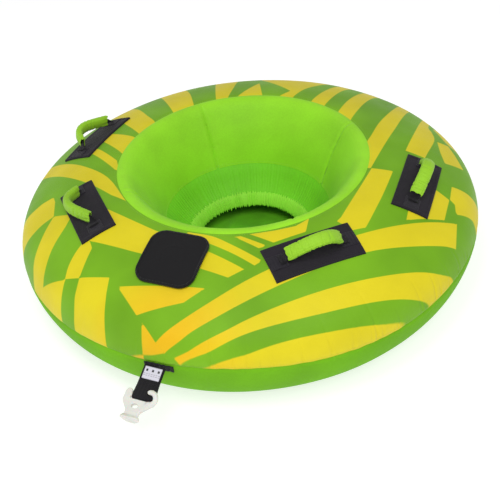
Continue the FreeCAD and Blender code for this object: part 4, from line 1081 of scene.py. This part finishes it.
def make_pad(name, spot):
    """The black pad under a handle, and the two patches of webbing boxed and crossed with stitches."""
    pad = patch("pad_" + name, spot, PAD[0], PAD[1], 0.0003, PAD_TOP, pad_cloth, "tube", "black_pad",
                   ["handle_pad_" + name], bound=0.009, rows=30, columns=64, wave=0.0003)
    runs = [rectangle_run(spot, PAD[0] - 0.012, PAD[1] - 0.012, PAD_TOP + 0.0009)]
    stitches("pad_stitches_" + name, runs, "tube", black_thread, "black_pad", pitch=0.005)
    runs = []
    for end in (-1, 1):
        middle = end * (PAD[0] / 2 - ANCHOR_FROM_END)
        patch("anchor_%s_%s" % (name, "ab"[end > 0]), spot, *ANCHOR, PAD_TOP - 0.0003, ANCHOR_TOP,
              anchor_webbing, "tube", "black_webbing", ["handle_anchor_" + name] if end > 0 else (),
              rows=12, columns=14, middle=middle, edge=0.0006)
        on_top = ANCHOR_TOP + 0.0001
        runs.append(rectangle_run(spot, ANCHOR[0] - 0.007, ANCHOR[1] - 0.007, on_top, middle))
        for way in (1, -1):
            x = np.linspace(-0.0155, 0.0155, 30)
            runs.append((spot.on_cloth(x + middle, way * x * 0.93, on_top),
                         np.broadcast_to(spot.z, (30, 3))))
    stitches("anchor_stitches_" + name, runs, "tube", black_thread, "black_pad", pitch=0.0042, length=0.0032)


def make_sleeve(name, spot, lean, slump):
    """A flat tube of cloth, gathered round the foam and frayed where it is cut at both ends."""
    count, ring = 200, 64
    path, travelled = handle_path(count, slump)
    total = travelled[-1]
    way = np.gradient(path, axis=0)
    way /= np.linalg.norm(way, axis=1, keepdims=True)
    out = np.stack([-way[:, 1], way[:, 0]], axis=1)
    draw = np.random.default_rng(71 + list(HANDLES).index(name))
    from_end = np.minimum(travelled, total - travelled)
    flare = np.exp(-(from_end / 0.014) ** 1.6)
    half_wide = 0.0158 + 0.0016 * flare
    half_thick = 0.0096 - 0.0030 * flare
    turn = full_turn(ring)
    ruffle = np.zeros((count, ring))
    for _ in range(6):
        waves = draw.integers(4, 14)
        ruffle += draw.uniform(0.4, 1) * np.sin(waves * turn[None, :] + draw.uniform(0, 6.3)
                                                + 40 * draw.uniform(-1, 1) * travelled[:, None])
    gather = np.zeros((count, ring))
    for k in range(26):
        at = total * (k + draw.uniform(0.1, 0.9)) / 26
        wide = draw.uniform(0.0012, 0.0028)
        middle, span = draw.uniform(0, 2 * math.pi), draw.uniform(0.7, 2.4)
        deep = draw.uniform(0.0010, 0.0034)
        slant = draw.uniform(-0.004, 0.004)
        off = np.abs(travelled[:, None] - at - slant * wrap(turn[None, :] - middle))
        fold = np.exp(-off / wide) - 0.4 * bell(off, 3 * wide)
        gather -= deep * fold * bell(wrap(turn[None, :] - middle), span)
    swell = ruffle / 6 * (0.0010 + 0.0026 * flare[:, None]) + gather * (1 - 0.5 * flare[:, None])
    across = half_wide[:, None] * np.sign(np.cos(turn)) * np.abs(np.cos(turn)) ** 0.8 \
        + np.cos(turn) * swell
    through = half_thick[:, None] * np.sign(np.sin(turn)) * np.abs(np.sin(turn)) ** 0.85 \
        + np.sin(turn) * swell
    ends = np.where(travelled < total / 2, -1, 1)[:, None]
    frayed = (0.0032 * np.abs(np.cos(turn)) ** 5 + 0.0008 * np.sin(9 * turn + 3 * slump)) * flare[:, None]
    x = path[:, 0:1] + out[:, 0:1] * through + way[:, 0:1] * frayed * ends
    rise = path[:, 1:2] + out[:, 1:2] * through + way[:, 1:2] * frayed * ends
    room = 0.0158 + 0.26 * rise                 # so the sleeve clears the pad when the handle lies down
    y = np.clip(across, -room, room)
    flat = y * math.cos(lean) - rise * math.sin(lean)
    tall = HANDLE_LIFT + y * math.sin(lean) + rise * math.cos(lean)
    points = spot.place(x, flat, tall)
    floor = spot.on_cloth(x, flat, PAD_TOP + 0.0012)
    sunk = np.clip((floor - points) @ spot.z, 0, None)
    points = points + sunk[..., None] * spot.z
    sleeve = grid_object("sleeve_" + name, points, sleeve_cloth, lambda r, c: c / ring * 0.1,
                         lambda r, c: travelled[r], closed=True)
    thicken(sleeve, 0.0012, -1)
    seat(sleeve, "handle_" + name, "sleeve_cloth", "handle_sleeve_" + name,
                   "handle_webbing_" + name, "handle_core_" + name)


def make_tongues(name, spot, lean):
    """The webbing between a sleeve and the patches sewn to its pad, blended across the hinge."""
    for end in (-1, 1):
        line = spline([(PAD[0] / 2 - 0.028, 0.0079, 0), (0.083, 0.0080, 0), (0.073, 0.0100, 0.25),
                       (0.0665, 0.0165, 0.8), (0.0570, HANDLE_LIFT + 0.005, 1)], 7)
        line, along = evenly(line, 34)
        half = 0.0125
        across = np.linspace(-half, half, 9)
        n = np.stack([-np.gradient(line[:, 1]), np.gradient(line[:, 0])], axis=1)
        n /= np.linalg.norm(n, axis=1, keepdims=True)
        sheets = []
        for off in (0.0011, -0.0011):
            bow = off * (1 - (across / half) ** 6 * 0.6)
            px = line[:, 0:1] + n[:, 0:1] * bow
            pz = line[:, 1:2] + n[:, 1:2] * bow
            turn_by = lean * np.clip(line[:, 2:3], 0, 1)
            high = pz - HANDLE_LIFT
            yy = across * np.cos(turn_by) - np.where(high > 0, high, 0) * np.sin(turn_by)
            zz = pz + across * np.sin(turn_by) * np.clip(line[:, 2:3], 0, 1) * 0.6
            sheets.append(spot.place(end * px, yy, zz))
        loop = np.concatenate([sheets[0], sheets[1][:, ::-1]], axis=1)
        tongue = grid_object("tongue_%s_%s" % (name, "ab"[end > 0]), loop, black_webbing,
                             lambda r, c: (c % 9) / 9 * 0.025, lambda r, c: along[r], closed=True)
        foot = spot.place(end * 0.0665, 0, 0.0085)
        head = spot.place(end * 0.0665, 0, HANDLE_LIFT)
        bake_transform(tongue)


def make_handle(name):
    """A handle on its pad. Its sleeve swings, and its tongues run between the two."""
    _, _, _, lean, slump = HANDLES[name]
    spot, lean = HANDLE_SPOTS[name], math.radians(lean)
    make_pad(name, spot)
    make_sleeve(name, spot, lean, slump)
    make_tongues(name, spot, lean)


# ---------------------------------------------------------------- tow strap and connector

STRAP_JOINT = next(j for j in frame["joints"] if j["name"] == "tow_strap_swing")
HOOK_JOINT = next(j for j in frame["joints"] if j["name"] == "tow_connector_swing")
STRAP_PLACE = Matrix.Translation(STRAP_JOINT["pos_m"]) @ Matrix.Rotation(math.radians(24), 4, "X")
HOOK_PLACE = Matrix.Translation(HOOK_JOINT["pos_m"]) @ Matrix.Rotation(math.radians(12), 4, "X")
STRAP_WIDTH = 0.051


def placed(points, place):
    """Points moved by a matrix."""
    flat = np.asarray(points, float)
    turn = np.array(place.to_3x3())
    return flat @ turn.T + np.array(place.translation)


def ribbon(name, line, half, thick, place, material, bow):
    """Webbing along a line of (y, z), with round selvedges. Bow is how unevenly its edges run."""
    path, along = evenly(line, 90)
    way = np.gradient(path, axis=0)
    way /= np.linalg.norm(way, axis=1, keepdims=True)
    n = np.stack([-way[:, 1], way[:, 0]], axis=1)
    upper = [(-0.985, 0.8), (-0.94, 1.0), (-0.5, 0.93), (0, 0.9), (0.5, 0.93), (0.94, 1.0), (0.985, 0.8)]
    section = [(-1, 0.0)] + upper + [(1, 0.0)] + [(x, -z) for x, z in reversed(upper)]
    grid = np.zeros((len(path), len(section), 3))
    for k, (sx, st) in enumerate(section):
        edge = 1 + bow * np.sin(along * 55)
        grid[:, k, 0] = half * sx * edge
        grid[:, k, 1] = path[:, 0] + n[:, 0] * st * thick / 2
        grid[:, k, 2] = path[:, 1] + n[:, 1] * st * thick / 2
    points = placed(grid.reshape(-1, 3), place).reshape(grid.shape)
    return grid_object(name, points, material, lambda r, c: section[c % len(section)][0] * half,
                       lambda r, c: along[r], closed=True)


def make_tow_strap():
    """Webbing doubled into a loop round the connector's crossbar, stitched across twice, with a plain label.
    """
    reach, loop = 0.070, 0.0064
    upper = [(0.0016, 0.0012), (-0.02, 0.0012), (-0.038, 0.0014), (-0.050, 0.0032), (-0.063, 0.0058)]
    round_end = [(-reach - loop * math.sin(t), loop * math.cos(t))
                 for t in np.linspace(0.1, math.pi - 0.1, 9)]
    lower = [(y, -z) for y, z in reversed(upper)]
    line = spline(upper + round_end + lower, 5)
    strap = ribbon("tow_strap_webbing", line, STRAP_WIDTH / 2, 0.0019, STRAP_PLACE, black_webbing, 0.006)
    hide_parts("tow_strap")
    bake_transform(strap)
    up = np.array(STRAP_PLACE.to_3x3())[:, 2]
    runs = []
    for y in (-0.0375, -0.0405):
        x = np.linspace(-0.022, 0.022, 40)
        flat = np.stack([x, np.full(40, y), np.full(40, 0.0024)], axis=1)
        runs.append((placed(flat, STRAP_PLACE), np.broadcast_to(up, (40, 3))))
    stitches("strap_stitches", runs, "tow_strap", black_thread, "black_webbing", pitch=0.0034, length=0.0028)

    # the label: a thin woven strip with a plain pattern
    x, y = np.meshgrid(np.linspace(-0.021, 0.021, 16), np.linspace(-0.0010, -0.0296, 14))
    lift = 0.0024 + 0.0003 * np.sin(x * 150) * np.sin(y * 220)
    points = placed(np.stack([x, y, lift], axis=-1).reshape(-1, 3), STRAP_PLACE).reshape(14, 16, 3)
    label = grid_object("strap_label_cloth", points, label_cloth, lambda r, c: c * 0.0028,
                        lambda r, c: r * 0.0022)
    thicken(label, 0.0005, 1)
    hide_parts("strap_label")
    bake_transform(label)

    # cross webbing that sews the strap to the outer seam
    seam, band = 0.611, 0.0085
    angle = np.linspace(math.asin(0.0005 / seam), math.asin(0.070 / seam), 40)
    section = [(-1, 0.2), (-0.95, 0.9), (-0.6, 1), (0, 1.0), (0.6, 1), (0.95, 0.9), (1, 0.2), (1, -0.6),
               (0, -0.6), (-1, -0.6)]
    grid = np.zeros((40, len(section), 3))
    for k, (sv, st) in enumerate(section):
        lift = seam + 0.0011 * st + 0.0006 * np.sin(angle * 300)
        grid[:, k] = around(angle, lift, LEVEL + band * sv + 0.0012 * np.sin(angle * 40))
    cross = grid_object("strap_cross_webbing", grid, black_webbing,
                        lambda r, c: section[c % len(section)][0] * band, lambda r, c: r * 0.0018,
                        closed=True)
    with reworked(cross) as work:
        bmesh.ops.holes_fill(work, edges=[e for e in work.edges if e.is_boundary])
        bmesh.ops.recalc_face_normals(work, faces=work.faces)
    seat(cross, "tube", "black_webbing", "tow_strap_anchor")


def prism(outline, low, high, work):
    """A closed slab from an outline in the plate's plane."""
    bottom = [work.verts.new((x, y, low)) for x, y in outline]
    top = [work.verts.new((x, y, high)) for x, y in outline]
    work.faces.new(list(reversed(bottom)))
    work.faces.new(top)
    count = len(outline)
    for k in range(count):
        nxt = (k + 1) % count
        work.faces.new((bottom[k], bottom[nxt], top[nxt], top[k]))


def bar(start, end, radius, work):
    """A closed round bar."""
    way = Vector(end) - Vector(start)
    made = bmesh.ops.create_cone(work, cap_ends=True, segments=24, radius1=radius, radius2=radius,
                                 depth=way.length)
    turn = way.to_track_quat("Z", "Y").to_matrix().to_4x4()
    bmesh.ops.transform(work, verts=made["verts"],
                        matrix=Matrix.Translation((Vector(start) + Vector(end)) / 2) @ turn)


def built(name, build):
    """An object out of closed slabs and bars, in the connector's own axes."""
    work = bmesh.new()
    build(work)
    mesh = bpy.data.meshes.new(name)
    bmesh.ops.recalc_face_normals(work, faces=work.faces)
    work.to_mesh(mesh)
    work.free()
    thing = bpy.data.objects.new(name, mesh)
    bpy.context.scene.collection.objects.link(thing)
    return thing


def fuse(thing, voxel, factor, rounds):
    """Make one skin of a moulding's parts and soften its edges."""
    modify(thing, "REMESH", mode="VOXEL", voxel_size=voxel, use_smooth_shade=True)
    modify(thing, "SMOOTH", factor=factor, iterations=rounds)
    apply_all(thing)


def make_connector():
    """The moulded connector: an ear on the left, a horn over the strap on the right, an oval eye, and a
    waist that flares into a saddle-shaped foot."""
    shift = -0.009                          # the eye and the foot lie left of the strap's middle
    half = 0.005                            # of the plate's thickness
    plate = spline([(-0.0435, -0.004), (-0.0445, 0.005), (-0.041, 0.0125), (-0.034, 0.0135),
                    (-0.0290, 0.008), (-0.0282, -0.004), (-0.0262, -0.0088), (-0.010, -0.0092),
                    (0.010, -0.0092), (0.0225, -0.0085), (0.0262, -0.0130), (0.0235, -0.0200),
                    (0.0150, -0.0290), (0.0085, -0.0370), (0.0074, -0.0450), (0.0085, -0.0540),
                    (-0.0265, -0.0540), (-0.0254, -0.0450), (-0.0265, -0.0370), (-0.0330, -0.0290),
                    (-0.0405, -0.0200), (-0.0435, -0.0130)], 4, closed=True)
    horn = spline([(0.0190, -0.0150, 0.0020, 0.0080), (0.0268, -0.0125, 0.0035, 0.0070),
                   (0.0322, -0.0060, 0.0070, 0.0060), (0.0322, 0.0010, 0.0112, 0.0060),
                   (0.0290, 0.0062, 0.0155, 0.0060), (0.0225, 0.0085, 0.0162, 0.0060),
                   (0.0165, 0.0080, 0.0160, 0.0054)], 7)

    def build(work):
        prism(plate, -half, half, work)
        for x, y, z, size in horn:
            made = bmesh.ops.create_icosphere(work, subdivisions=2, radius=size)
            bmesh.ops.translate(work, verts=made["verts"], vec=(x, y, z))
        bar((-0.040, 0, 0), (0.0265, 0, 0), 0.0048, work)
        # the foot: wider and taller towards its end, its sides bent back
        for k in range(8):
            t = k / 7
            wide, tall = 0.0160 + 0.0070 * t ** 0.5, 0.0055 + 0.0072 * t ** 0.6
            oval = [(wide * np.sign(math.cos(s)) * abs(math.cos(s)) ** 0.8, tall * math.sin(s))
                    for s in np.linspace(0, 2 * math.pi, 41)[:-1]]
            bend = [0.0030 * (abs(x) / 0.023) ** 2 for x, _ in oval]
            y0 = -0.0485 - 0.0010 * k
            back = [work.verts.new((shift + x, y0 + 0.0008 + c, z)) for (x, z), c in zip(oval, bend)]
            front = [work.verts.new((shift + x, y0 - 0.0026 + c, z)) for (x, z), c in zip(oval, bend)]
            work.faces.new(back)
            work.faces.new(list(reversed(front)))
            for i in range(40):
                j = (i + 1) % 40
                work.faces.new((back[j], back[i], front[i], front[j]))

    hook = built("connector_moulding", build)
    fuse(hook, 0.0010, 0.6, 7)
    oval = [(shift + 0.0078 * math.cos(s), -0.025 + 0.0054 * math.sin(s))
            for s in np.linspace(0, 2 * math.pi, 41)[:-1]]
    cutter = built("eye_cutter", lambda work: prism(oval, -0.02, 0.02, work))
    modify(hook, "BOOLEAN", object=cutter, operation="DIFFERENCE", solver="EXACT")
    apply_all(hook)
    bpy.data.objects.remove(cutter)
    fuse(hook, 0.0009, 0.5, 4)
    hook.data.transform(HOOK_PLACE)
    hook.data.materials.clear()
    hook.data.materials.append(milky)
    hook.data.polygons.foreach_set("use_smooth", [True] * len(hook.data.polygons))
    seat(hook, "tow_connector", "white_nylon", "tow_connector")


# ---------------------------------------------------------------- everything

make_top_cover()
make_bottom_cover()
make_well_panels()
make_well_skirt()
make_floor_panel()
make_seams()
make_flap()
for handle in HANDLES:
    make_handle(handle)
make_tow_strap()
make_connector()

CARRIED = {
    "bladder_upper_sheet": vinyl, "bladder_lower_sheet": vinyl, "valve_base": black_plastic,
    "valve_insert": black_plastic, "valve_cap": black_plastic, "valve_diaphragm": black_rubber,
    "valve_gasket": black_rubber, "flap_loop_patch": loop_tape, "flap_hook_patch": hook_tape,
}
for node, material in CARRIED.items():
    thing = frame["nodes"][node]
    if not thing.material_slots:
        thing.data.materials.append(material)
    for slot in thing.material_slots:
        slot.material = material

# ---------------------------------------------------------------- studio


def make_studio():
    """A white floor and surround with one warm light from the right and two weaker ones."""
    n = Nodes("studio_paper")
    where = n.add("TexCoord").outputs["Object"]
    n.finish(n.brighten((0.5, 0.5, 0.5, 1), n.ramp(n.noise(where, 3, 2), 0.3, 0.7, 0.995, 1.0)), 0.9,
             Specular_IOR_Level=0.1, Emission_Color=(1, 1, 1, 1), Emission_Strength=0.66)
    corners = [(-30, -30, 0), (30, -30, 0), (30, 30, 0), (-30, 30, 0)]
    mesh_object("studio_floor", corners, [(0, 1, 2, 3)], n.material)
    world = bpy.data.worlds.new("studio")
    world.use_nodes = True
    sky = world.node_tree.nodes["Background"]
    sky.inputs["Color"].default_value = (1, 1, 1, 1)
    sky.inputs["Strength"].default_value = 0.56
    bpy.context.scene.world = world
    area_light("key", (1.5, -1.8, 2.9), (0, 0, 0.15), 1.6, 40, (1.0, 0.985, 0.95))
    area_light("well", (0.2, -1.2, 2.4), (0, 0.25, 0.2), 0.7, 14)
    area_light("side", (-2.6, -2.2, 0.7), (0, -0.2, 0.1), 1.2, 14)
    bpy.context.scene.view_settings.view_transform = "Standard"


make_studio()
